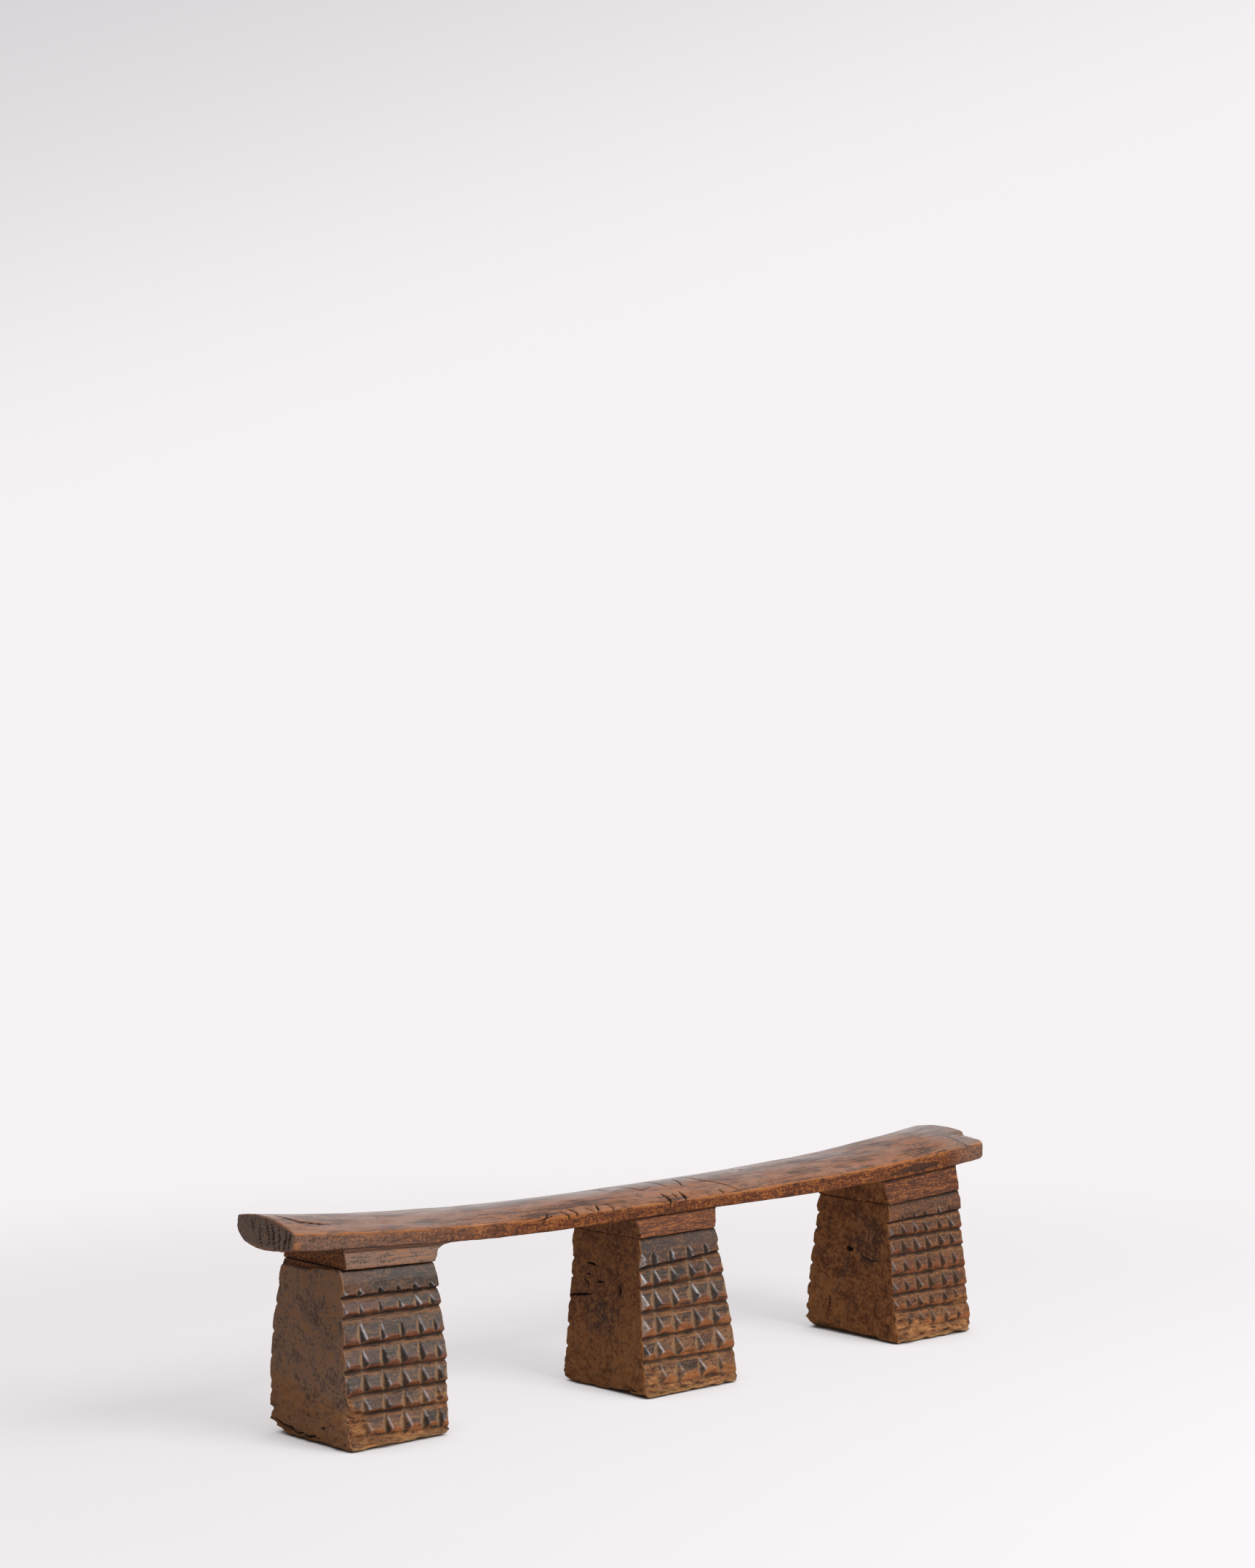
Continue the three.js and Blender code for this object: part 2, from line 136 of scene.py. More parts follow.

# Legs, in millimetres. Groove heights run from the collar down to the foot strip, at the left and
# at the right edge, and columns are the places of the cuts as shares of the width. Ledge, base,
# dusty and streak are lines on the sides, by Y and height, and burnished is an oval there. Haze,
# shade, crust and tan are shares of a colour, where tan lightens the cuts' left walls partly as
# painted light, arris and corner are shares of a painted glint, and gloss and cut_gloss of a coat.
LEGS = (
    {
        "name": "left",
        "seat": (108.4, 105.6),
        "middle": -234.0,
        "seat_width": 70.0,
        "foot_width": 75.5,
        "foot_drift": 2.8,
        "foot_front": -38.5,
        "foot_wear": 1.2,
        "seat_back": 29.1,
        "collar_back": 1.4,
        "foot_back": 42.5,
        "back_swell": 7.0,
        "side_swell": 4.5,
        "grooves_left": (91.1, 79.1, 61.9, 46.7, 32.8, 21.0, 8.8),
        "grooves_right": (88.7, 78.2, 60.9, 44.6, 31.3, 19.0, 4.6),
        "columns": (0.0, 0.17, 0.375, 0.56, 0.745, 0.9, 1.0),
        "cut_share": (0.8, 0.62, 0.72, 0.8, 0.9, 0.9, 0.88),
        "cut_half_width": 3.8,
        "leaf": 1.75,
        "waver": 0.04,
        "band_cut": 0.62,
        "ridge": 0.74,
        "back_relief": (0.8, 0.45),
        "band_recess": (2.3, 0.3),
        "collar_front": (-28.3, -32.2),
        "collar_inset": 1.9,
        "bead": 1.1,
        "spread": (3.0, 26.0),
        "ledge": ((-40.0, 108.6), (-10.0, 107.2), (6.0, 104.6), (20.0, 104.9), (45.0, 103.4)),
        "base": (
            (-38.5, 0.0), (-24.0, 0.5), (-20.0, 0.2), (-8.0, 1.0), (2.0, 0.4),
            (28.0, 0.3), (32.0, 2.2), (37.0, 4.6), (42.5, 7.0),
        ),
        "dusty": ((-40.0, 24.0), (0.0, 31.0), (43.0, 40.0)),
        "burnished": (-14.0, 74.0, 16.0, 20.0, 0.35),
        "valleys": 50.0,
        "collar_lean": 5.5,
        "haze": 1.0,
        "shade": 0.0,
        "gloss": 0.26,
        "cut_gloss": 0.03,
        "crust": 0.25,
        "arris": 0.6,
        "corner": 0.35,
        "tan": 0.9,
        "low": 55.0,
        "seed": 11,
    },
    {
        "name": "middle",
        "seat": (99.5, 99.4),
        "middle": 4.5,
        "seat_width": 67.0,
        "foot_width": 81.5,
        "foot_drift": -4.6,
        "foot_front": -50.5,
        "foot_wear": 1.2,
        "seat_back": 35.3,
        "collar_back": 0.0,
        "foot_back": 33.5,
        "back_swell": 0.5,
        "side_swell": 3.5,
        "grooves_left": (79.6, 67.6, 52.8, 36.7, 22.2, 7.9),
        "grooves_right": (83.1, 68.5, 51.1, 36.5, 20.3, 6.4),
        "columns": (0.0, 0.155, 0.358, 0.595, 0.805, 1.0),
        "cut_share": (0.85, 0.9, 0.88, 0.92, 0.85, 0.8),
        "cut_half_width": 4.3,
        "leaf": 1.6,
        "waver": 0.05,
        "band_cut": 0.4,
        "ridge": 0.66,
        "back_relief": (1.0, 1.0),
        "band_recess": (1.3, 1.3),
        "collar_front": (-26.2, -31.0),
        "collar_inset": 0.0,
        "bead": 0.0,
        "spread": (3.0, 1.5),
        "ledge": (),
        "base": (
            (-50.5, 0.0), (-47.4, 0.1), (-47.2, 1.5), (-34.2, 0.7), (-33.0, 0.6), (-32.6, 2.5),
            (-20.0, 1.4), (-12.5, 1.1), (-10.0, 0.2), (24.0, 0.1), (29.0, 0.9), (33.5, 2.4),
        ),
        "dusty": ((-51.0, 62.0), (-37.6, 56.0), (-4.8, 37.0), (26.5, 43.0), (34.0, 48.0)),
        "burnished": (-0.7, 46.1, 17.0, 13.0, 1.0),
        "valleys": 84.0,
        "collar_lean": 3.5,
        "haze": 0.12,
        "shade": 0.0,
        "gloss": 0.16,
        "cut_gloss": 0.25,
        "crust": 0.45,
        "arris": 0.5,
        "corner": 1.0,
        "tan": 0.75,
        "low": 75.0,
        "seed": 23,
    },
    {
        "name": "right",
        "seat": (95.9, 98.8),
        "middle": 241.5,
        "seat_width": 73.0,
        "foot_width": 76.0,
        "foot_drift": 0.0,
        "foot_front": -41.5,
        "foot_wear": 2.6,
        "seat_back": 37.3,
        "collar_back": 0.0,
        "foot_back": 50.3,
        "back_swell": 2.5,
        "side_swell": 1.2,
        "grooves_left": (83.0, 72.0, 60.0, 46.4, 33.2, 21.8, 9.9),
        "grooves_right": (84.1, 71.2, 59.9, 44.6, 31.7, 20.1, 9.1),
        "columns": (0.0, 0.17, 0.335, 0.49, 0.675, 0.83, 1.0),
        "cut_share": (0.6, 0.85, 0.86, 0.86, 0.88, 0.8, 0.7),
        "cut_half_width": 3.7,
        "leaf": 1.6,
        "waver": 0.075,
        "band_cut": 0.5,
        "ridge": 0.64,
        "back_relief": (1.0, 1.0),
        "band_recess": (1.4, 1.4),
        "collar_front": (-24.4, -30.6),
        "collar_inset": 0.0,
        "bead": 0.0,
        "spread": (3.0, 2.0),
        "ledge": (),
        "base": (
            (-41.5, 0.0), (-20.0, 0.2), (-18.6, 0.4), (-18.0, 2.3), (-8.0, 1.6), (0.0, 0.8), (10.0, 1.5),
            (19.0, 2.4), (24.0, 2.8), (24.6, 4.6), (27.5, 4.4), (28.0, 2.8), (46.0, 2.6), (50.3, 5.0),
        ),
        "dusty": ((-42.0, 7.0), (2.0, 9.0), (12.0, 16.0), (50.0, 60.0)),
        "burnished": (-11.0, 70.0, 15.0, 20.0, 0.8),
        "streak": ((7.0, 58.0), (11.0, 45.0), (17.0, 33.0), (24.0, 25.0)),
        "valleys": 84.0,
        "collar_lean": 1.5,
        "haze": 0.0,
        "shade": 0.3,
        "gloss": 0.06,
        "cut_gloss": 0.03,
        "crust": 0.6,
        "arris": 0.16,
        "corner": 0.5,
        "tan": 0.4,
        "low": 50.0,
        "seed": 37,
    },
)

# Nicks and cracks, in millimetres. On the beam they run along X and across it, where places in
# front of the beam's front edge lie down its front side. On the left faces they run along Y and Z.
BEAM_NICKS = (
    ([(-104.5, -25.5), (-112.0, -34.5)], 0.94, 1.3),
    ([(-114.5, -32.0), (-103.0, -29.0)], 0.85, 1.1),
    ([(-92.5, -22.5), (-90.5, -27.0), (-89.5, -32.5)], 1.3, 2),
    ([(-83.5, -20.5), (-81.5, -26.0), (-82.5, -31.5)], 1.3, 2),
    ([(-71.0, -22.0), (-68.5, -25.5), (-67.0, -30.0)], 0.85, 1.2),
    ([(-59.5, -21.0), (-61.5, -26.0), (-65.0, -31.0)], 1, 1.7),
    ([(-51.5, -21.5), (-50.0, -26.5), (-51.5, -31.0)], 0.85, 1.3),
    ([(0.5, -17.5), (0.8, -24.0), (-2.0, -32.0)], 1.5, 2.6),
    ([(9.5, -19.0), (7.5, -27.0)], 0.85, 1.1),
    ([(16.5, -18.0), (15.0, -25.0), (11.5, -31.0)], 1.4, 2),
    ([(48.5, -22.5), (47.0, -29.0)], 0.77, 1.1),
    ([(47.0, 16.0), (48.5, 6.0), (49.5, -4.0), (56.5, -14.0), (60.0, -21.0), (63.0, -29.5)], 1, 1.6),
    ([(-12.0, 12.0), (-9.0, 2.0), (-6.0, -10.0)], 0.77, 0.72),
    ([(18.0, 20.0), (16.5, 4.0), (15.5, -12.0)], 0.77, 0.72),
    ([(38.0, 12.0), (33.0, 0.0), (26.5, -11.0)], 0.77, 0.72),
    ([(-30.0, 14.0), (-27.5, 2.0)], 0.68, 0.6),
    ([(96.0, 14.0), (99.0, 3.0)], 0.68, 0.6),
    ([(-293.0, 3.0), (-290.5, -6.0), (-287.5, -12.5), (-281.0, -13.8), (-274.0, -14.6)], 2.3, 1.9),
    ([(-284.0, -13.6), (-268.0, -16.5)], 1.6, 0.96),
)

# Stains on the beam, in millimetres: place, half length, half width and strength
STAINS = (
    (166.0, 6.0, 31.0, 7.0, 0.75),
    (94.5, -13.5, 5.0, 3.0, 0.6),
    (149.0, -15.4, 2.6, 1.6, 0.8),
    (66.0, -0.5, 6.0, 4.0, 0.6),
    (-51.0, -14.5, 5.0, 2.6, 0.6),
    (-199.0, -20.5, 9.0, 4.0, 0.6),
    (-228.0, -23.5, 14.0, 3.4, 0.45),
    (216.0, -9.0, 9.0, 6.0, 0.35),
    (286.0, -3.0, 8.0, 6.0, 0.35),
    (238.0, -36.8, 26.0, 2.6, 0.85),
    (-2.0, -37.5, 12.0, 2.4, 0.4),
)

# Cracks in the left end and marks on the left faces: a line, half its width and its depth
END_CRACKS = (
    ([(-8.5, 137.0), (-10.5, 132.0), (-11.8, 121.5)], 0.9, 1.8),
    ([(-24.7, 136.5), (-22.6, 130.0), (-20.7, 123.5)], 0.9, 1.8),
    ([(-3.5, 139.0), (-6.0, 131.0), (-7.0, 125.0)], 0.7, 1.1),
    ([(-16.0, 136.5), (-16.8, 130.0), (-16.2, 122.5)], 0.8, 1.3),
    ([(3.5, 137.0), (2.5, 128.5), (1.0, 121.5)], 0.7, 0.9),
    ([(-27.6, 134.0), (-26.0, 128.0), (-25.5, 124.0)], 0.7, 0.9),
    ([(11.0, 138.0), (8.5, 130.5)], 0.6, 0.7),
)
LEFT_FACE_MARKS = {
    "left": (
        ([(38.0, 8.6), (30.0, 6.2), (23.5, 5.2), (12.0, 3.4)], 1.4, 6),
        ([(13.0, 4.4), (4.0, 3.2), (-6.0, 3.4)], 0.91, 2.4),
        ([(-9.0, 10.6), (-11.0, 10.2)], 1.2, 2.4),
    ),
    "middle": (
        ([(17.5, 78.2), (10.0, 77.8)], 1.2, 2.9),
        ([(7.0, 67.2), (0.3, 67.8)], 0.91, 2.2),
        ([(17.4, 71.0), (14.0, 71.2)], 0.78, 1.2),
        ([(-14.2, 67.2), (-14.9, 64.5), (-15.8, 61.5)], 1.4, 3.6),
        ([(35.0, 55.0), (28.0, 56.0), (18.9, 57.7), (11.5, 58.6)], 1, 2.4),
        ([(19.5, 68.5), (15.5, 65.0), (14.3, 61.0)], 0.65, 0.96),
        ([(-26.0, 4.6), (-38.0, 3.0)], 1, 1.9),
    ),
    "right": (
        ([(9.2, 61.2), (3.8, 60.4)], 2.1, 4.0),
        ([(26.0, 26.0), (25.2, 21.0), (25.6, 17.0)], 0.78, 1.4),
        ([(-4.0, 57.5), (-14.0, 55.0), (-22.0, 55.5)], 0.65, 0.84),
    ),
}

# Stretches where the carving is worn away: shares of width and height, radius and strength
WORN_CARVING = {
    "left": ((0.07, 0.14, 0.16, 0.95), (0.0, 0.26, 0.09, 0.7), (0.93, 0.2, 0.1, 0.5)),
    "middle": ((0.08, 0.13, 0.14, 0.7), (0.9, 0.08, 0.12, 0.45), (0.62, 0.04, 0.1, 0.4)),
    "right": (
        (0.05, 0.15, 0.13, 0.85), (0.3, 0.09, 0.14, 0.8), (0.9, 0.22, 0.12, 0.75), (0.6, 0.05, 0.12, 0.6),
    ),
}


class HeadrestSizes(bpy.types.PropertyGroup):
    """Sizes of the carving and of the wear."""

    crown: FloatProperty(
        name="Crown", description="Bulge of the beam's top", default=0.005, unit="LENGTH"
    )
    groove_depth: FloatProperty(
        name="Groove Depth",
        description="From a boss's ridge to the groove below it",
        default=0.0033,
        unit="LENGTH",
    )
    cut_width: FloatProperty(
        name="Cut Width",
        description="Width of the cuts between the bosses, as a share of the photographed width",
        default=1.0,
        subtype="FACTOR",
    )
    groove_line: FloatProperty(
        name="Groove Line",
        description="Depth of the knife line at the bottom of each groove",
        default=0.0006,
        unit="LENGTH",
    )
    edge_wear: FloatProperty(
        name="Edge Wear", description="Radius of the worn edges", default=0.0012, unit="LENGTH"
    )
    tool_marks: FloatProperty(
        name="Tool Marks",
        description="Height of the unevenness that the tools left",
        default=0.00045,
        unit="LENGTH",
    )


def colour_property(name, description, colour):
    return FloatVectorProperty(
        name=name, description=description, default=(*colour, 1.0), size=4, min=0.0, max=1.0, subtype="COLOR"
    )


class HeadrestColours(bpy.types.PropertyGroup):
    """Colours of the wood, its grime and its wear, and of the shade and glints painted on it."""

    beam_top: colour_property("Beam Top", "Rubbed red-brown of the beam's top", (0.27, 0.1, 0.036))
    beam_side: colour_property("Beam Side", "Orange-brown of the beam's sides", (0.096, 0.0235, 0.0052))
    collar_red: colour_property("Collar", "Red-brown of the collars", (0.098, 0.025, 0.0073))
    patina: colour_property("Patina", "Dark grey-brown of the carved rows", (0.021, 0.0118, 0.0072))
    lower_facet: colour_property("Lower Facets", "Orange-red below the ridges", (0.2, 0.052, 0.014))
    side_brown: colour_property("Leg Sides", "Brown of the legs' sides", (0.185, 0.066, 0.023))
    pale_side: colour_property("Pale Side", "Greyer brown of the left leg's side", (0.245, 0.148, 0.1))
    dust: colour_property("Dust", "Ochre dust that lies in the pores", (0.27, 0.145, 0.058))
    # Real dirt, and also the colour of painted shade: in the grooves, under the lips and the beam, on the
    # chipped end's step and on the floor by the feet
    dirt_and_shade: colour_property("Dirt", "Dark dirt in grooves and cracks", (0.01, 0.006, 0.004))
    worn_edge: colour_property("Worn Edges", "Bare wood on worn edges", (0.34, 0.12, 0.028))
    # Grey film, and also painted sheen on the back of the beam's top and on the left leg's patina, and
    # painted glints at the legs' front corners
    grey_film_and_sheen: colour_property("Grey Bloom", "Grey film on handled wood", (0.195, 0.141, 0.111))
    # Painted highlight: the glint along the upper arrises of the cuts
    painted_edge_glint: colour_property("Polished Edges", "Glint on the arrises of the cuts", (0.66, 0.625, 0.65))
    floor: colour_property("Floor", "Pale floor", (0.86, 0.835, 0.84))
    backdrop: colour_property("Backdrop", "Pale background", (0.922, 0.889, 0.898))
    backdrop_gloom: colour_property("Backdrop Gloom", "Dimmer top of the background", (0.66, 0.625, 0.65))


class HeadrestStage(bpy.types.PropertyGroup):
    """Light and camera."""

    lamp_power: FloatProperty(
        name="Lamp Power", description="Power of the large front lamp", default=64.0, unit="POWER"
    )
    reflector_power: FloatProperty(
        name="Reflector Power",
        description="Power of the reflector at the right",
        default=13.0,
        unit="POWER",
    )
    ambient: FloatProperty(
        name="Ambient Light", description="Strength of the light from all round", default=0.44
    )
    floor_glow: FloatProperty(
        name="Floor Glow",
        description="Share of the floor's look that the shadows leave alone",
        default=0.67,
        subtype="FACTOR",
    )
    lens: FloatProperty(
        name="Lens", description="Focal length for a 36 mm sensor", default=73.47, unit="CAMERA"
    )


def lerp(start, end, share):
    return start + (end - start) * share


def smooth(low, high, value):
    """A soft step from 0 at low to 1 at high: 3t^2 - 2t^3 of the clamped share t."""
    share = np.clip((value - low) / (high - low), 0.0, 1.0)
    return share * share * (3.0 - 2.0 * share)


def soft_max(first, second, rounding):
    """The larger of two fields, with the crease between them rounded over."""
    return 0.5 * (first + second + np.sqrt((first - second) ** 2 + rounding**2))


def cell_value(cells, seed):
    """A steady random number from 0 to 1 for each whole-numbered cell, by mixing its bits."""
    mixed = (cells * np.array([374761393, 668265263, 1440662683])).sum(axis=1) + seed * 974634777
    mixed = (mixed & 0xFFFFFFFF) ^ ((mixed & 0xFFFFFFFF) >> 13)
    mixed = (mixed * 1274126177) & 0xFFFFFFFF
    return ((mixed ^ (mixed >> 16)) & 0xFFFFFF) / 0xFFFFFF


def noise(points, grain, seed):
    """Smooth random heights from -1 to 1. The value is known at the corners of cells as large as
    the grain and is blended between them by the soft step along each axis."""
    places = points / np.asarray(grain, float)
    base = np.floor(places).astype(np.int64)
    share = places - base
    share = share * share * (3.0 - 2.0 * share)
    total = np.zeros(len(points))
    for corner in np.ndindex(2, 2, 2):
        weight = np.prod(np.where(corner, share, 1.0 - share), axis=1)
        total += weight * cell_value(base + np.array(corner), seed)
    return 2.0 * total - 1.0


def layered_noise(points, grain, seed, layers=3):
    """Noise with finer and lower noise on it: each layer has half the grain and half the height."""
    total = np.zeros(len(points))
    for layer in range(layers):
        total += noise(points, np.asarray(grain, float) / 2**layer, seed + layer) / 2**layer
    return total / (2.0 - 0.5 ** (layers - 1))


def stops_to_places(stops, counts):
    """Lattice places with an even number of steps between each two stops."""
    parts = [np.linspace(a, b, n, endpoint=False) for a, b, n in zip(stops[:-1], stops[1:], counts)]
    return np.append(np.concatenate(parts), stops[-1])


def even_steps(stops, steps):
    """How many of all the steps lie between each two stops, but not too few."""
    return [max(LEG_STEPS["fewest"], round(steps * (b - a))) for a, b in zip(stops[:-1], stops[1:])]


def box_lattice(along, deep, up):
    """The skin of a box-shaped lattice: its points as three shares of the box, and its quads.
    Points on an edge or a corner are shared, so that the skin is closed, and all quads face out."""
    counts = (len(along), len(deep), len(up))
    i, j, k = np.indices(counts)
    ends = [(index == 0) | (index == count - 1) for index, count in zip((i, j, k), counts)]
    skin = ends[0] | ends[1] | ends[2]
    numbers = np.full(counts, -1)
    numbers[skin] = np.arange(skin.sum())
    shares = np.stack([along[i[skin]], deep[j[skin]], up[k[skin]]], axis=1)
    quads = []
    for axis in range(3):
        for end in (0, -1):
            face = np.take(numbers, end, axis=axis)
            corners = (face[:-1, :-1], face[1:, :-1], face[1:, 1:], face[:-1, 1:])
            loop = np.stack(corners, axis=-1).reshape(-1, 4)
            faces_out = (end == -1) != (axis == 1)
            quads.append(loop if faces_out else loop[:, ::-1])
    return shares, np.concatenate(quads)


def rounded(shares, sizes, radius, axes=(1.0, 1.0, 1.0)):
    """Rounds a box's edges: each skin point moves to the given distance from an inner box that is
    smaller by the radius along the given axes. Also says how far onto an edge each point lies."""
    places = shares * sizes
    margin = radius * np.array(axes)
    inner = np.clip(places, margin, sizes - margin)
    away = places - inner
    reach = np.linalg.norm(away, axis=1, keepdims=True)
    moved = inner + away * radius / np.maximum(reach, 1e-9)
    on_edge = np.clip((reach[:, 0] / np.ravel(radius) - 1.0) / (math.sqrt(2.0) - 1.0), 0.0, 1.0)
    return moved / sizes, on_edge


def outward(points, quads):
    """Unit normals at the points: the sum of the normals of the quads round each, made one long."""
    first = points[quads[:, 2]] - points[quads[:, 0]]
    second = points[quads[:, 3]] - points[quads[:, 1]]
    normals = np.cross(first, second)
    total = np.zeros_like(points)
    for axis in range(3):
        for corner in range(4):
            total[:, axis] += np.bincount(quads[:, corner], normals[:, axis], len(points))
    return total / np.maximum(np.linalg.norm(total, axis=1, keepdims=True), 1e-12)


def scored(places, strokes, seed):
    """Depth in mm, and a mark from 0 to 1, of V-shaped nicks along the strokes. A stroke is a line
    of points on the flat, half its width and its depth, and tapers away at its two ends."""
    depth = np.zeros(len(places))
    mark = np.zeros(len(places))
    flat = np.column_stack([places, np.zeros(len(places))])
    waver = noise(flat, 2.6, seed)
    for line, half_width, deep in strokes:
        line = np.array(line, float)
        lengths = np.linalg.norm(np.diff(line, axis=0), axis=1)
        starts = np.append(0.0, np.cumsum(lengths))
        nearest = np.full(len(places), 1e9)
        travel = np.zeros(len(places))
        for a, b, length, start in zip(line[:-1], line[1:], lengths, starts):
            share = np.clip(((places - a) @ (b - a)) / max(length, 1e-6) ** 2, 0.0, 1.0)
            distance = np.linalg.norm(places - a - share[:, None] * (b - a), axis=1)
            closer = distance < nearest
            nearest = np.where(closer, distance, nearest)
            travel = np.where(closer, start + share * length, travel)
        taper = np.sin(np.pi * np.clip(travel / starts[-1], 0.08, 0.92)) ** 0.5
        reach = half_width * taper * (1.0 + 0.35 * waver)
        profile = np.clip(1.0 - nearest / reach, 0.0, 1.0)
        depth = np.maximum(depth, deep * taper * profile)
        mark = np.maximum(mark, smooth(0.0, 0.45, profile))
    return depth, mark


def make_piece(name, points, quads, marks, material, slot, *nodes):
    """A mesh object from points in mm and quads, with its marks as attributes, riding on the body."""
    mesh = bpy.data.meshes.new(name)
    mesh.vertices.add(len(points))
    mesh.vertices.foreach_set("co", (points * MM).astype(np.float32).ravel())
    mesh.loops.add(quads.size)
    mesh.loops.foreach_set("vertex_index", quads.astype(np.int32).ravel())
    mesh.polygons.add(len(quads))
    mesh.polygons.foreach_set("loop_start", np.arange(0, quads.size, 4, dtype=np.int32))
    mesh.polygons.foreach_set("use_smooth", np.ones(len(quads), bool))
    mesh.update(calc_edges=True)
    mesh.validate()
    for mark, values in marks.items():
        layer = mesh.attributes.new(mark, "FLOAT", "POINT")
        layer.data.foreach_set("value", np.clip(values, 0.0, 1.0).astype(np.float32))
    mesh.materials.append(material)
    piece = bpy.data.objects.new(name, mesh)
    bpy.context.scene.collection.objects.link(piece)
    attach(piece, "root")
    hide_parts(*nodes)


def saddle_share(x):
    """0 at the saddle's lowest point and 1 at either end of the beam."""
    reach = np.where(x < SADDLE_PLACE, HALF_LENGTH + SADDLE_PLACE, HALF_LENGTH - SADDLE_PLACE)
    return np.abs(x - SADDLE_PLACE) / reach


def front_edge(x):
    """Height of the top's front edge: the lowest height plus the rise times share^2.5."""
    rise = np.where(x < SADDLE_PLACE, *SADDLE_RISE)
    return SADDLE_HEIGHT + rise * saddle_share(x) ** SADDLE_POWER


def front_side(x):
    end = np.where(x < SADDLE_PLACE, FRONT_SIDE[0], FRONT_SIDE[2])
    return lerp(FRONT_SIDE[1], end, saddle_share(x))


def along_parabola(x, ends):
    """The parabola through the values at the left end, the middle and the right end."""
    left, middle, right = ends
    along = x / HALF_LENGTH
    return middle + (right - left) / 2.0 * along + ((right + left) / 2.0 - middle) * along**2


def belly(x, share):
    """The beam's underside from front to back: a cubic curve that leaves the front side with a
    slope and meets the back side upright. Gives Y and Z."""
    back = along_parabola(x, BEAM_BACK)
    front_low = front_edge(x) - front_side(x)
    back_low = front_edge(x) + along_parabola(x, BACK_LIFT) - BACK_SIDE
    weights = ((1 - share) ** 3, 3 * share * (1 - share) ** 2, 3 * share**2 * (1 - share), share**3)
    y = weights[0] * BEAM_FRONT + weights[1] * (BEAM_FRONT + BELLY_REACH)
    y = y + (weights[2] + weights[3]) * back
    heights = (front_low, front_low - BELLY_DROP, back_low - BACK_ROUNDING, back_low)
    return y, sum(weight * height for weight, height in zip(weights, heights))


def crown_height(x, share, crown):
    """The beam's top from front to back: a parabola that stands up by the crown in its middle, and
    the crown is rubbed lower in some places along the beam."""
    front = front_edge(x)
    back = front + along_parabola(x, BACK_LIFT)
    rubbed = np.interp(x, *np.array(CROWN_SHARES).T)
    return lerp(front, back, share) + 4.0 * crown * rubbed * share * (1.0 - share)


def belly_height(x, y):
    """Height of the beam's underside over a place, from the curve by looking it up."""
    shares = np.linspace(0.0, 1.0, 60)
    columns = [np.interp(y, *belly(place, shares)) for place in (x.min(), x.mean(), x.max())]
    along = (x - x.min()) / max(np.ptp(x), 1e-6)
    first = 2.0 * (along - 0.5) * (along - 1.0)
    last = 2.0 * along * (along - 0.5)
    return first * columns[0] + (1.0 - first - last) * columns[1] + last * columns[2]


def stained(points, unrolled):
    """Dark stains on the beam: ragged ovals that lie along the grain, on the top and on the front
    side, which is unrolled in front of the top."""
    ragged = 0.45 * layered_noise(points, (14.0, 4.0, 4.0), 53)
    ragged = ragged + 0.2 * noise(points, (9.0, 1.2, 1.2), 59)
    darkness = np.zeros(len(points))
    for x, y, half_length, half_width, strength in STAINS:
        distance = np.hypot((points[:, 0] - x) / half_length, (unrolled - y) / half_width)
        darkness = np.maximum(darkness, strength * smooth(1.1, 0.75, distance + ragged))
    return darkness


def bloom_and_sheen_share(points, rough):
    """The grey film on the beam, which grows towards the ends, and a painted sheen, which grows towards the
    back of the top.
    """
    towards_left = smooth(-90.0, -HALF_LENGTH, points[:, 0])
    towards_right = smooth(262.0, 292.0, points[:, 0] + 6.0 * rough)
    towards_back = smooth(-16.0, 26.0, points[:, 1])
    clouds = layered_noise(points, (60.0, 18.0, 18.0), 61)
    on_top = smooth(BEAM_FRONT + 0.5, BEAM_FRONT + 3.0, points[:, 1])
    film = (0.75 - 0.45 * on_top) * towards_left + (0.6 + 0.35 * on_top) * towards_right
    # Painted sheen: the top grows paler towards its back edge, most in the middle of the beam
    in_middle = smooth(-190.0, -120.0, points[:, 0]) * smooth(150.0, 80.0, points[:, 0])
    haze = (0.35 + in_middle) * towards_back + 0.5 * clouds + 0.2 * rough
    return np.clip(film + on_top * haze, 0.0, 1.0)


